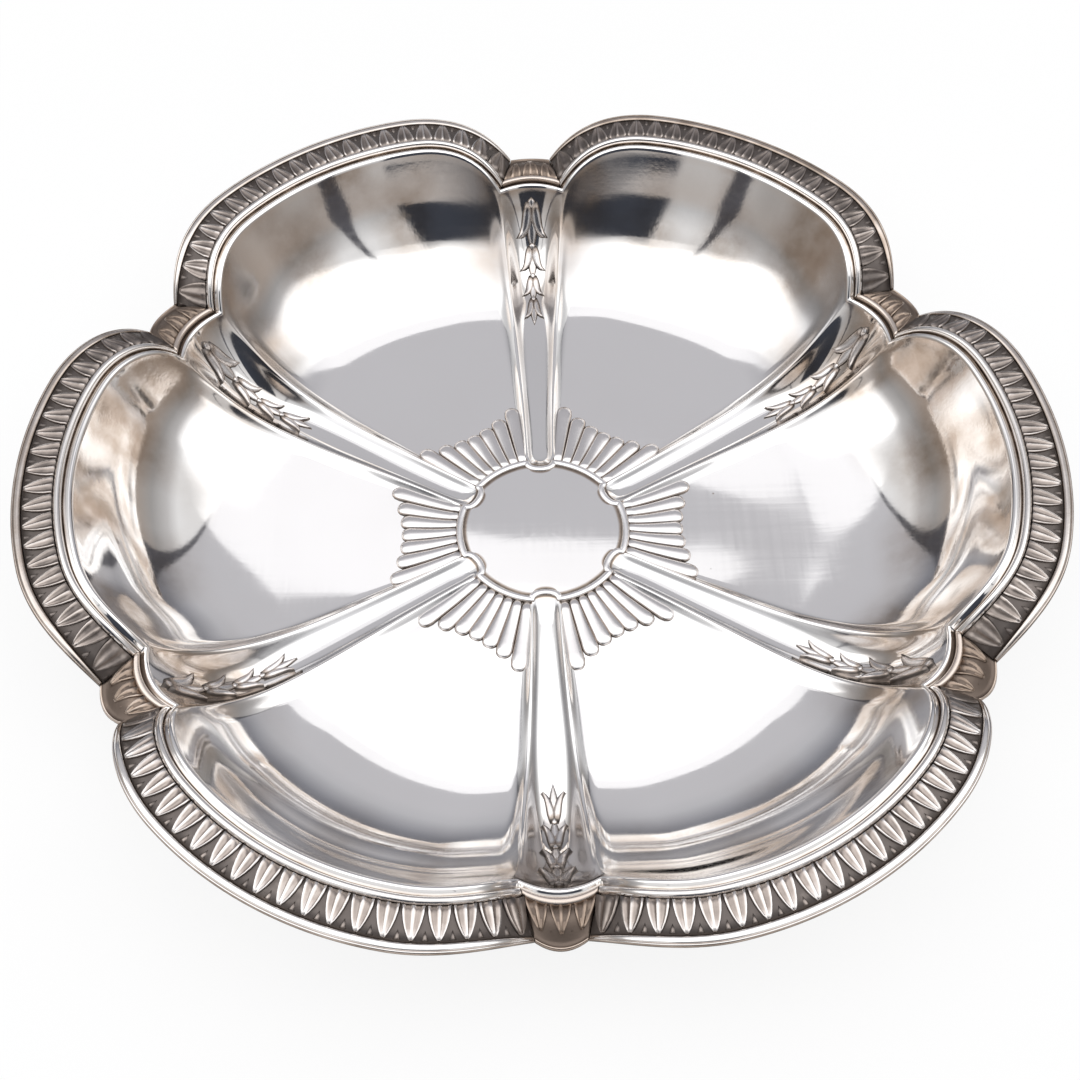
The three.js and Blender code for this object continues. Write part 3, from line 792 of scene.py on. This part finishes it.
def husk_mesh():
    """One husk of unit length and width, from its cap at 0 to its point at -1."""
    steps = np.linspace(0, 1, 8)
    curl = np.stack([-0.87 * steps, 0.12 + 0.08 * steps + 0.34 * steps**3.5], -1)
    curl_half = 0.012 + 0.2 * np.sin(math.pi * (0.1 + 0.9 * steps) ** 0.9) ** 0.8
    spear = np.stack([-0.28 - 0.84 * steps, 0 * steps], -1)
    spear_half = 0.012 + 0.2 * np.sin(math.pi * steps**0.85)
    cap = np.stack([0.1 - 0.2 * steps, 0 * steps], -1)
    cap_half = 0.03 + 0.14 * np.sin(math.pi * steps)
    shapes = (
        petal(spear, spear_half, 0.75),
        petal(curl, curl_half, 1),
        petal(curl * np.array([1, -1]), curl_half, 1),
        petal(cap, cap_half, 1.1),
    )
    points, faces, soils = [], [], []
    for shape_points, shape_faces, shape_soils in shapes:
        faces += [tuple(len(points) + k for k in face) for face in shape_faces]
        points += shape_points.tolist()
        soils += shape_soils
    return soiled_mesh("husk", points, faces, soils)


def husk_tree():
    """Sets a husk at each joint of a chain, the chain on each rib, and lays them all on the sheet."""
    tree, given, result = shaping_tree(
        "husks_on_ribs", husk="Object", sheet="Object", ribs="Int", relief="Float"
    )

    def stored(name):
        return new_node(
            tree, "GeometryNodeInputNamedAttribute", {"Name": name}, data_type="FLOAT"
        ).outputs["Attribute"]

    def shape_of(target):
        return new_node(tree, "GeometryNodeObjectInfo", {"Object": given[target]}).outputs["Geometry"]

    size = vector(tree, stored("length"), stored("width"), given["Relief"])
    parts = {"Points": given["Geometry"], "Instance": shape_of("Husk"), "Scale": size}
    chain = new_node(tree, "GeometryNodeInstanceOnPoints", parts).outputs["Instances"]
    number = calc(tree, "ADD", tree.nodes.new("GeometryNodeInputIndex").outputs[0], 0.5)
    turn = calc(tree, "MULTIPLY", calc(tree, "DIVIDE", number, given["Ribs"]), 2 * math.pi)
    chains = copies(tree, given["Ribs"], chain, (0, 0, 0), turn, (1, 1, 1))
    flat = new_node(tree, "GeometryNodeRealizeInstances", {"Geometry": chains}).outputs["Geometry"]
    place = tree.nodes.new("GeometryNodeInputPosition").outputs[0]
    x, y, z = new_node(tree, "ShaderNodeSeparateXYZ", {0: place}).outputs
    drop = {
        "Target Geometry": shape_of("Sheet"),
        "Source Position": vector(tree, x, y, ABOVE_DISH),
        "Ray Direction": (0, 0, -1),
        "Ray Length": 1,
    }
    ray = new_node(tree, "GeometryNodeRaycast", drop).outputs
    lift = new_node(tree, "ShaderNodeVectorMath", {0: ray["Hit Normal"], "Scale": z}, operation="SCALE")
    laid = {0: ray["Hit Position"], 1: lift.outputs["Vector"]}
    laid = new_node(tree, "ShaderNodeVectorMath", laid, operation="ADD").outputs["Vector"]
    draped = new_node(tree, "GeometryNodeSetPosition", {"Geometry": flat, "Position": laid})
    end_tree(tree, draped.outputs["Geometry"], given["Material"], result)
    return tree


husk_shape = new_object("husk", husk_mesh())
chain_mesh = bpy.data.meshes.new("husk_chain")
chain_mesh.from_pydata([(joint, 0, 0) for joint in HUSK_JOINTS[:-1]], [], [])
for name, values in (("length", -np.diff(HUSK_JOINTS)), ("width", HUSK_WIDTHS)):
    chain_mesh.attributes.new(name, "FLOAT", "POINT").data.foreach_set("value", list(values))
husk_sizes = {
    "Husk": husk_shape,
    "Sheet": dish_sheet,
    "Ribs": LOBES,
    "Relief": HUSK_RELIEF,
    "Material": chased_silver,
}
husk_points, husk_faces, husk_soil = grown(new_object("husk_chain", chain_mesh), husk_tree(), husk_sizes)
bpy.data.objects.remove(husk_shape)
husks = new_piece("husks", husk_points, husk_faces, chased_silver, husk_soil)
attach(husks, "root")
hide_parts("dish_sheet")

# The bead wires. Half-round wire bent along the inner edge of the leaves and soldered down, one to
# each lobe, bright on top and dark where it meets the groove.
BEAD_START = EDGE_WIRE + LEAF_BAND
BEAD_RISE = 0.0017
BEAD_FOOT = 0.0001
BEAD_SOIL_TOP = 0.0006
BEAD_ROUND = 0.9
SOLDER_GAP = 0.0003
STRIP_END = 1 - SOLDER_GAP / 2 / outer_half_length
LOBE_STEPS = 97
wire_silver = silver_material(
    "wire_silver", bright=(0.9, 0.88, 0.86), brown=(0.42, 0.34, 0.28), black=(0.1, 0.085, 0.075),
    polish=0.14, scratch=0.04, soil=0.15, wave=0.2,
)


def swept(profile, places, border):
    """A bar along the border, whose section is given by insets and rises, and its faces."""
    sections = [border(places, np.full(places.size, row[0]), np.full(places.size, row[1])) for row in profile]
    points = np.stack(sections, 1).reshape(-1, 3)
    return points, facing_out(points, tube_faces(places.size, len(profile)))


def half_round(foot):
    """Insets and rises of the top of a bead that springs from a foot."""
    rows = []
    for angle in np.linspace(0, math.pi, 11):
        rise = foot + (BEAD_RISE - foot) * math.sin(angle) ** BEAD_ROUND
        rows.append((bead_middle - bead_radius * math.cos(angle), rise))
    return rows


seat_top = SOLDER_GAP - SEAT_DEPTH
bead_middle = BEAD_START + BEAD_WIRE / 2
bead_radius = BEAD_WIRE / 2 - SOLDER_GAP / 6
bead_profile = [
    (bead_middle - bead_radius, seat_top),
    *half_round(BEAD_FOOT),
    (bead_middle + bead_radius, seat_top),
]
lobe_places = STRIP_END * np.sin(np.linspace(-1, 1, LOBE_STEPS) * math.pi / 2)
bead_soil = np.interp([row[1] for row in bead_profile], (BEAD_FOOT, BEAD_SOIL_TOP), (0.7, 0.05))
bead_soil = np.tile(bead_soil, LOBE_STEPS)
bead_points, bead_faces = swept(bead_profile, lobe_places, lobe_border)
for lobe in range(LOBES):
    name = f"bead_wire_{lobe + 1}"
    wire = new_piece(f"{name}_round", turned(bead_points, lobe), bead_faces, wire_silver, bead_soil)
    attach(wire, "root")
    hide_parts(name)

# The edge wires. Plain flattened wire that binds the outer edge of each lobe, with a fine line
# rolled in near its outer side. It thins out towards the notches. The rows of its section have a
# share of its width, a height above the edge and a tarnish, which over the wire's rounded outer side
# is painted shade.
EDGE_PROFILE = (
    (0.05, -0.0015, 0.8),
    (0.0, -0.0009, 0.7),
    (0.04, -0.0003, 0.45),
    (0.12, -0.00005, 0.15),
    (0.22, -0.00002, 0),
    (0.27, -0.0003, 0.7),
    (0.33, -0.00002, 0),
    (0.5, 0.00012, 0),
    (0.75, 0.0001, 0),
    (0.93, -0.0001, 0.1),
    (1.0, -0.0005, 0.6),
    (1.0, -0.0015, 1),
)
EDGE_THIN = 0.42
THIN_START = 0.7
EDGE_LOBE_DARKENING = 0.3
LOBE_DARKENING = (0.7, 1.3, 0.6, 1.0, 0.0, 0.0)


def edge_width(share):
    """Width of the edge wire, thinned at the ends of a lobe."""
    thinning = ramp(np.abs(share), THIN_START, 1) ** 2
    return (EDGE_WIRE - SOLDER_GAP / 2) * (1 - (1 - EDGE_THIN) * thinning)


def edge_border(share, part, rise):
    return lobe_border(share, part * edge_width(share), rise)


edge_points, edge_faces = swept(EDGE_PROFILE, lobe_places, edge_border)
edge_soil_and_shade = np.tile([row[2] for row in EDGE_PROFILE], LOBE_STEPS)
for lobe in range(LOBES):
    name = f"edge_wire_{lobe + 1}"
    # Some lobes are darker than others; the two near lobes are not darkened.
    darkened = np.minimum(edge_soil_and_shade + EDGE_LOBE_DARKENING * LOBE_DARKENING[lobe], 1)
    wire = new_piece(f"{name}_flat", turned(edge_points, lobe), edge_faces, wire_silver, darkened)
    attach(wire, "root")
    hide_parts(name)

# The leaf strips. Silver strip stamped flat with a row of upright leaves and small darts, then bent
# along each lobe. The leaves are rubbed bright and the ground is left black.
LEAVES = 21
LEAF_RELIEF = 0.0011
LEAF_SINK = -0.2
GROUND_TIP = -0.0005
GROUND_FOOT = 0.0007
LEAF_ROWS = (0.0, 0.22, 0.44, 0.64, 0.82, 0.93)
LEAF_LINES = (-1.0, -0.86, -0.64, -0.22, 0.0, 0.22, 0.64, 0.86, 1.0)
LEAF_RELIEFS = (LEAF_SINK, 0.85, 0.1, 0.1, 0.95, 0.1, 0.1, 0.85, LEAF_SINK)
LEAF_SOILS = (1.0, 0.0, 0.5, 0.5, 0.0, 0.5, 0.5, 0.0, 1.0)
LEAF_FLAT_START = 0.55
LEAF_FLAT_RELIEF = 0.7
DART_HALF = 0.2
DART_FOOT = 0.98
DART_TOP = 0.9
DART_POINT = 0.55
DART_RELIEF = 0.4
STRIP_LOBE_DARKENING = 0.24
STRIP_END_SOIL = 0.6
END_SOIL_START = 0.82
leaf_silver = silver_material(
    "leaf_silver", bright=(0.84, 0.815, 0.8), brown=(0.4, 0.345, 0.31), black=(0.155, 0.135, 0.125),
    polish=0.22, scratch=0.05, soil=0.25, wave=0.2,
)


def leaf_mesh():
    """One leaf and the dart after it, one pitch wide, from its foot at 0 to its tip at 1."""
    points, soils, faces = [], [], []
    for y in LEAF_ROWS:
        half = 0.49 * (1 - y**1.7) ** 0.85 + 0.02 * y
        flat = ramp(y, LEAF_FLAT_START, 1)
        for line, relief, soil in zip(LEAF_LINES, LEAF_RELIEFS, LEAF_SOILS):
            raised = relief > 0
            points.append((half * line, y, relief + flat * (LEAF_FLAT_RELIEF - relief) * raised))
            soils.append(soil * (1 - flat * raised))
    lines = len(LEAF_LINES)
    tip = len(points)
    points.append((0, 0.99, LEAF_SINK))
    soils.append(0.3)
    for i in range(len(LEAF_ROWS) - 1):
        for j in range(lines - 1):
            here = i * lines + j
            faces.append((here, here + 1, here + lines + 1, here + lines))
    for here in range(tip - lines, tip - 1):
        faces.append((here, here + 1, tip))
    faces.append(tuple(reversed(range(lines))))
    faces.append((*range(0, tip, lines), tip, *range(tip - 1, 0, -lines)))
    dart = len(points)
    points += [
        (0.5 - DART_HALF, DART_FOOT, LEAF_SINK),
        (0.5 + DART_HALF, DART_FOOT, LEAF_SINK),
        (0.5, DART_POINT, LEAF_SINK),
        (0.5, DART_TOP, DART_RELIEF),
    ]
    soils += [1.0, 1.0, 1.0, 0.5]
    for corner in ((0, 3, 2), (2, 3, 1), (1, 3, 0), (0, 2, 1)):
        faces.append(tuple(dart + k for k in corner))
    return soiled_mesh("leaf", points, faces, soils)


def row_tree():
    """Repeats the object's own leaf in a straight row."""
    tree, given, result = shaping_tree("row_of_leaves", count="Int", pitch="Float")
    step = vector(tree, given["Pitch"], 0, 0)
    row = new_node(tree, "GeometryNodeMeshLine", {"Count": given["Count"], "Offset": step})
    parts = {"Points": row.outputs["Mesh"], "Instance": given["Geometry"]}
    leaves = new_node(tree, "GeometryNodeInstanceOnPoints", parts)
    end_tree(tree, leaves.outputs["Instances"], given["Material"], result)
    return tree


leaf_row = row_tree()


def flat_leaves(count, material):
    """A straight row of leaves, one to each step along, with the soil on each point."""
    sizes = {"Count": count, "Pitch": 1.0, "Material": material}
    return grown(new_object("leaf", leaf_mesh()), leaf_row, sizes)


def ground_rise(part):
    """Height of the ground between the foot of the leaves and their tips."""
    return GROUND_FOOT + (GROUND_TIP - GROUND_FOOT) * part


def along_row(flat, count):
    """Where the points of a flat row lie along the border, from -1 to 1."""
    return (flat[:, 0] + 0.5) / count * 2 - 1


def bent(flat, count, border, foot, tip_of):
    """A flat row of leaves laid on the ground of the border, with its relief square to that ground."""
    place = np.clip(along_row(flat, count), -STRIP_END, STRIP_END)
    part = flat[:, 1]
    nudge = 1e-3

    def ground(where, height):
        return border(where, foot + (tip_of(where) - foot) * height, ground_rise(height))

    along = ground(place + nudge, part) - ground(place - nudge, part)
    out = ground(place, part + nudge) - ground(place, part - nudge)
    up = np.cross(out, along)
    up = up * np.sign(up[:, 2:3]) / np.linalg.norm(up, axis=1, keepdims=True)
    return ground(place, part) + up * (flat[:, 2] * LEAF_RELIEF)[:, None]


def with_leaves(points, faces, leaf_points, leaf_faces):
    """A bar and the leaves on it as one mesh."""
    moved = [tuple(k + len(points) for k in face) for face in leaf_faces]
    return np.concatenate([points, leaf_points]), faces + moved


def leaf_tip_inset(share):
    return edge_width(share) + SOLDER_GAP / 2


leaf_foot_inset = BEAD_START - SOLDER_GAP / 2
GROUND_PROFILE = (
    (0.0, seat_top),
    (1.0, seat_top),
    (1.0, GROUND_TIP),
    (0.66, ground_rise(0.66)),
    (0.33, ground_rise(0.33)),
    (0.0, GROUND_FOOT),
)


def ground_border(share, part, rise):
    return lobe_border(share, leaf_foot_inset + (leaf_tip_inset(share) - leaf_foot_inset) * part, rise)


flat, leaf_faces, leaf_soils = flat_leaves(LEAVES, leaf_silver)
leaf_points = bent(flat, LEAVES, lobe_border, leaf_foot_inset, leaf_tip_inset)
ground_points, ground_faces = swept(GROUND_PROFILE, lobe_places, ground_border)
strip_points, strip_faces = with_leaves(ground_points, ground_faces, leaf_points, leaf_faces)
end_soil = STRIP_END_SOIL * ramp(np.abs(along_row(flat, LEAVES)), END_SOIL_START, 1)
strip_soils = np.concatenate([np.ones(len(ground_points)), np.maximum(leaf_soils, end_soil)])
for lobe in range(LOBES):
    name = f"leaf_strip_{lobe + 1}"
    # Some lobes are darker than others; the two near lobes are not darkened.
    darkened = np.minimum(strip_soils + STRIP_LOBE_DARKENING * LOBE_DARKENING[lobe], 1)
    strip = new_piece(f"{name}_stamped", turned(strip_points, lobe), strip_faces, leaf_silver, darkened)
    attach(strip, "root")
    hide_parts(name)

# The corner castings. Keystones cast in one piece with three leaves, a bead and a thin rim, which
# close the border over the end of each rib. They keep more tarnish than the strips beside them.
CASTING_LEAVES = 3
CASTING_STEPS = 25
CASTING_END = 1 - SOLDER_GAP / 2 / NOTCH_HALF
CASTING_RIM = 0.0013
CASTING_LEAF = 0.75
CASTING_LEAF_SOIL = 0.3
CASTING_DOME = 0.0022
CASTING_SWELL = 1.3
CASTING_SOIL_TOP = 0.0012
casting_silver = silver_material(
    "casting_silver", bright=(0.69, 0.61, 0.55), brown=(0.36, 0.278, 0.22), black=(0.18, 0.142, 0.118),
    polish=0.24, scratch=0.05, soil=0.35, wave=0.2,
)


def casting_border(across, inset, rise):
    """The border over the end of a rib, with the swell of the casting between its rim and its bead."""
    between = ramp(inset, CASTING_RIM, BEAD_START)
    swell = CASTING_DOME * np.sin(math.pi * between**CASTING_SWELL) * (1 - across**2)
    return corner_border(across, inset, rise + swell)


def casting_tip_inset(across):
    return np.full(np.shape(across), BEAD_START + (CASTING_RIM - BEAD_START) * CASTING_LEAF)


casting_profile = [
    (FLANGE_INSET, seat_top, 1),
    (0.0, -0.0009, 0.6),
    (0.0002, -0.0003, 0.2),
    (0.0006, 0.0, 0.1),
    (0.001, -0.0002, 0.7),
]
for part in np.linspace(0, 0.92, 9):
    rise = GROUND_TIP + (GROUND_FOOT - GROUND_TIP) * part
    casting_profile.append((CASTING_RIM + (BEAD_START - CASTING_RIM) * part, rise, 1))
for inset, rise in half_round(GROUND_FOOT):
    casting_profile.append((inset, rise, np.interp(rise, (GROUND_FOOT, CASTING_SOIL_TOP), (0.9, 0))))
casting_profile.append((bead_middle + bead_radius, seat_top, 1))
casting_places = CASTING_END * np.linspace(-1, 1, CASTING_STEPS)
casting_points, casting_faces = swept(casting_profile, casting_places, casting_border)
flat, leaf_faces, leaf_soils = flat_leaves(CASTING_LEAVES, casting_silver)
leaf_points = bent(flat, CASTING_LEAVES, casting_border, BEAD_START, casting_tip_inset)
corner_points, corner_faces = with_leaves(casting_points, casting_faces, leaf_points, leaf_faces)
casting_soil = np.tile([row[2] for row in casting_profile], CASTING_STEPS)
leaf_soils = CASTING_LEAF_SOIL + (1 - CASTING_LEAF_SOIL) * leaf_soils
corner_soils = np.concatenate([casting_soil, leaf_soils])
for lobe in range(LOBES):
    name = f"corner_casting_{lobe + 1}"
    turned_points = turned(corner_points, lobe)
    casting = new_piece(f"{name}_chased", turned_points, corner_faces, casting_silver, corner_soils)
    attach(casting, "root")
    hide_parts(name)

# The floor. A flat sheet of white paper that takes the soft shadow of the dish. To the camera it
# turns to even white away from the dish.
FLOOR_HALF = 6.0
FLOOR_DROP = -0.0002
WHITE_NEAR = 0.87
WHITE_FROM = (0.16, 0.42)


def fade(tree, value, low, high, first=0.0, last=1.0):
    """Runs smoothly from a first level at one value to a last level at another."""
    if low > high:
        low, high, first, last = high, low, last, first
    limits = {"Value": value, "From Min": low, "From Max": high, "To Min": first, "To Max": last}
    return new_node(tree, "ShaderNodeMapRange", limits, interpolation_type="SMOOTHSTEP").outputs["Result"]


corners = ((-1, -1), (1, -1), (1, 1), (-1, 1))
floor_corners = [(x * FLOOR_HALF, y * FLOOR_HALF, FLOOR_DROP) for x, y in corners]
floor_mesh = bpy.data.meshes.new("floor")
floor_mesh.from_pydata(floor_corners, [], [(0, 1, 2, 3)])
floor_paper = bpy.data.materials.new("floor_paper")
floor_paper.use_nodes = True
paper_tree = floor_paper.node_tree
paper = paper_tree.nodes["Principled BSDF"]
paper.inputs["Base Color"].default_value = (0.95, 0.95, 0.95, 1)
paper.inputs["Roughness"].default_value = 0.9
white = paper_tree.nodes.new("ShaderNodeEmission")
place = paper_tree.nodes.new("ShaderNodeTexCoord").outputs["Object"]
from_dish = new_node(paper_tree, "ShaderNodeVectorMath", {0: place}, operation="LENGTH").outputs["Value"]
to_camera = paper_tree.nodes.new("ShaderNodeLightPath").outputs["Is Camera Ray"]
seen = calc(paper_tree, "MULTIPLY", to_camera, fade(paper_tree, from_dish, *WHITE_FROM, WHITE_NEAR, 1.0))
blend = new_node(paper_tree, "ShaderNodeMixShader", {"Fac": seen, 1: paper.outputs[0], 2: white.outputs[0]})
paper_tree.links.new(blend.outputs[0], paper_tree.nodes["Material Output"].inputs["Surface"])
floor_mesh.materials.append(floor_paper)
floor = new_object("floor", floor_mesh)

# The camera. A normal lens that looks down on the dish from in front, fitted to the outline of the
# dish's edge.
AZIMUTH = math.radians(-2.148)
ELEVATION = math.radians(56.555)
ROLL = math.radians(0.370)
DISTANCE = 0.4754
TARGET = Vector((-0.0016, -0.0187, 0.0247))
LENS = 51.66
level_back = Vector((math.sin(AZIMUTH), -math.cos(AZIMUTH), 0))
back = level_back * math.cos(ELEVATION) + Vector((0, 0, math.sin(ELEVATION)))
level_right = Vector((math.cos(AZIMUTH), math.sin(AZIMUTH), 0))
upright = back.cross(level_right)
right = math.cos(ROLL) * level_right + math.sin(ROLL) * upright
above = math.cos(ROLL) * upright - math.sin(ROLL) * level_right
camera_data = bpy.data.cameras.new("camera")
camera_data.lens = LENS
camera_data.sensor_width = 36
camera_data.clip_start = 0.01
camera = new_object("camera", camera_data)
camera_turn = Matrix((right, above, back)).transposed().to_4x4()
camera.matrix_world = Matrix.Translation(TARGET + back * DISTANCE) @ camera_turn
bpy.context.scene.camera = camera

# The studio. A plain light tent that the silver mirrors: a wide softbox overhead, a grey back, pale
# sides with dark seams at the corners, and a dark opening in front where the camera stands. Walls
# are coloured by the sine of the height above the floor.
SIDE_WALL = (
    (0.0, (0.46, 0.385, 0.33)),
    (0.12, (0.4, 0.35, 0.315)),
    (0.27, (0.37, 0.362, 0.36)),
    (0.42, (0.56, 0.55, 0.555)),
    (0.52, (0.85, 0.85, 0.86)),
)
FRONT_WALL = (
    (0.0, (0.54, 0.45, 0.39)),
    (0.18, (0.5, 0.46, 0.435)),
    (0.3, (0.56, 0.56, 0.57)),
    (0.52, (0.85, 0.85, 0.86)),
)
BACK_WALL = (
    (0.0, (0.15, 0.15, 0.17)),
    (0.17, (0.24, 0.245, 0.275)),
    (0.42, (0.51, 0.51, 0.54)),
    (0.55, (0.55, 0.545, 0.575)),
)
BACK_FROM = (0.67, 0.74)
FRONT_FROM = (-0.55, -0.75)
SEAM = (0.1, 0.1, 0.115, 1)
SEAM_WIDTH = (0.013, 0.009)
SEAM_FOOT = (0.05, 0.15)
SEAM_TOP = (0.78, 0.7)
OPENING = (0.052, 0.058, 0.075, 1)
OPENING_SIDES = (-0.89, -0.91)
OPENING_FOOT = (0.212, 0.235)
OPENING_TOP = (0.8, 0.72)
world = bpy.data.worlds.new("studio")
bpy.context.scene.world = world
world.use_nodes = True
tent = world.node_tree


def direction_calc(operation, first, second=(0, 0, 0)):
    node = new_node(tent, "ShaderNodeVectorMath", {0: first, 1: second}, operation=operation)
    return node.outputs["Value" if operation == "DOT_PRODUCT" else "Vector"]


def by_height(stops):
    """The colours of a wall of the tent."""
    node = new_node(tent, "ShaderNodeValToRGB", {"Fac": height})
    ramp_stops = node.color_ramp.elements
    while len(ramp_stops) < len(stops):
        ramp_stops.new(0.5)
    for stop, (sine, color) in zip(ramp_stops, stops):
        stop.position = sine
        stop.color = (*color, 1)
    return node.outputs["Color"]


def all_of(tree, *masks):
    """The part that all the masks share."""
    shared = masks[0]
    for mask in masks[1:]:
        shared = calc(tree, "MULTIPLY", shared, mask)
    return shared


direction = tent.nodes.new("ShaderNodeTexCoord").outputs["Generated"]
height = direction_calc("DOT_PRODUCT", direction, (0, 0, 1))
level = direction_calc("NORMALIZE", direction_calc("MULTIPLY", direction, (1, 1, 0)))
backward = direction_calc("DOT_PRODUCT", level, (0, 1, 0))
walls = mix_color(tent, fade(tent, backward, *BACK_FROM), by_height(SIDE_WALL), by_height(BACK_WALL))
walls = mix_color(tent, fade(tent, backward, *FRONT_FROM), walls, by_height(FRONT_WALL))
from_corner = calc(tent, "SUBTRACT", calc(tent, "MULTIPLY", backward, backward), 0.5)
seam = calc(tent, "MULTIPLY", calc(tent, "ABSOLUTE", from_corner), height)
seam = fade(tent, seam, *SEAM_WIDTH)
seam = all_of(tent, seam, fade(tent, height, *SEAM_TOP), fade(tent, height, *SEAM_FOOT))
walls = mix_color(tent, seam, walls, SEAM)
opening = fade(tent, backward, *OPENING_SIDES)
opening = all_of(tent, opening, fade(tent, height, *OPENING_FOOT), fade(tent, height, *OPENING_TOP))
walls = mix_color(tent, opening, walls, OPENING)
to_camera = tent.nodes.new("ShaderNodeLightPath").outputs["Is Camera Ray"]
tent.links.new(mix_color(tent, to_camera, walls, (1, 1, 1, 1)), tent.nodes["Background"].inputs["Color"])

# The softbox. A wide lamp behind white cloth over the dish, soft at its ends and crisper along the
# middle of its long edges.
SOFTBOX_WIDTH = 2.1
SOFTBOX_DEPTH = 0.67
SOFTBOX_POWER = 4.6
SOFTBOX_PLACE = (0, 0.007, 0.498)
SOFT_END = 0.26
SOFT_EDGE = (0.02, 0.2)
CRISP_MIDDLE = (0.2, 0.08)
CRISPNESS = 0.5
softbox_data = bpy.data.lights.new("softbox", "AREA")
softbox_data.shape = "RECTANGLE"
softbox_data.size = SOFTBOX_WIDTH
softbox_data.size_y = SOFTBOX_DEPTH
softbox_data.energy = SOFTBOX_POWER
softbox_data.use_nodes = True
cloth = softbox_data.node_tree
on_cloth = cloth.nodes.new("ShaderNodeNewGeometry").outputs["Parametric"]
cloth_x, cloth_y, _ = new_node(cloth, "ShaderNodeSeparateXYZ", {0: on_cloth}).outputs
aside = calc(cloth, "ABSOLUTE", calc(cloth, "SUBTRACT", cloth_x, 0.5))
crisp = calc(cloth, "MULTIPLY", fade(cloth, aside, *CRISP_MIDDLE), CRISPNESS)
from_back = calc(cloth, "SUBTRACT", 1.0, cloth_y)
glow = all_of(
    cloth,
    fade(cloth, cloth_x, 0.0, SOFT_END),
    fade(cloth, cloth_x, 1.0, 1 - SOFT_END),
    calc(cloth, "MAXIMUM", fade(cloth, cloth_y, *SOFT_EDGE), crisp),
    calc(cloth, "MAXIMUM", fade(cloth, from_back, *SOFT_EDGE), crisp),
)
cloth.links.new(glow, cloth.nodes["Emission"].inputs["Strength"])
softbox = new_object("softbox", softbox_data)
softbox.location = SOFTBOX_PLACE
softbox.visible_camera = False

bpy.context.scene.view_settings.view_transform = "Standard"
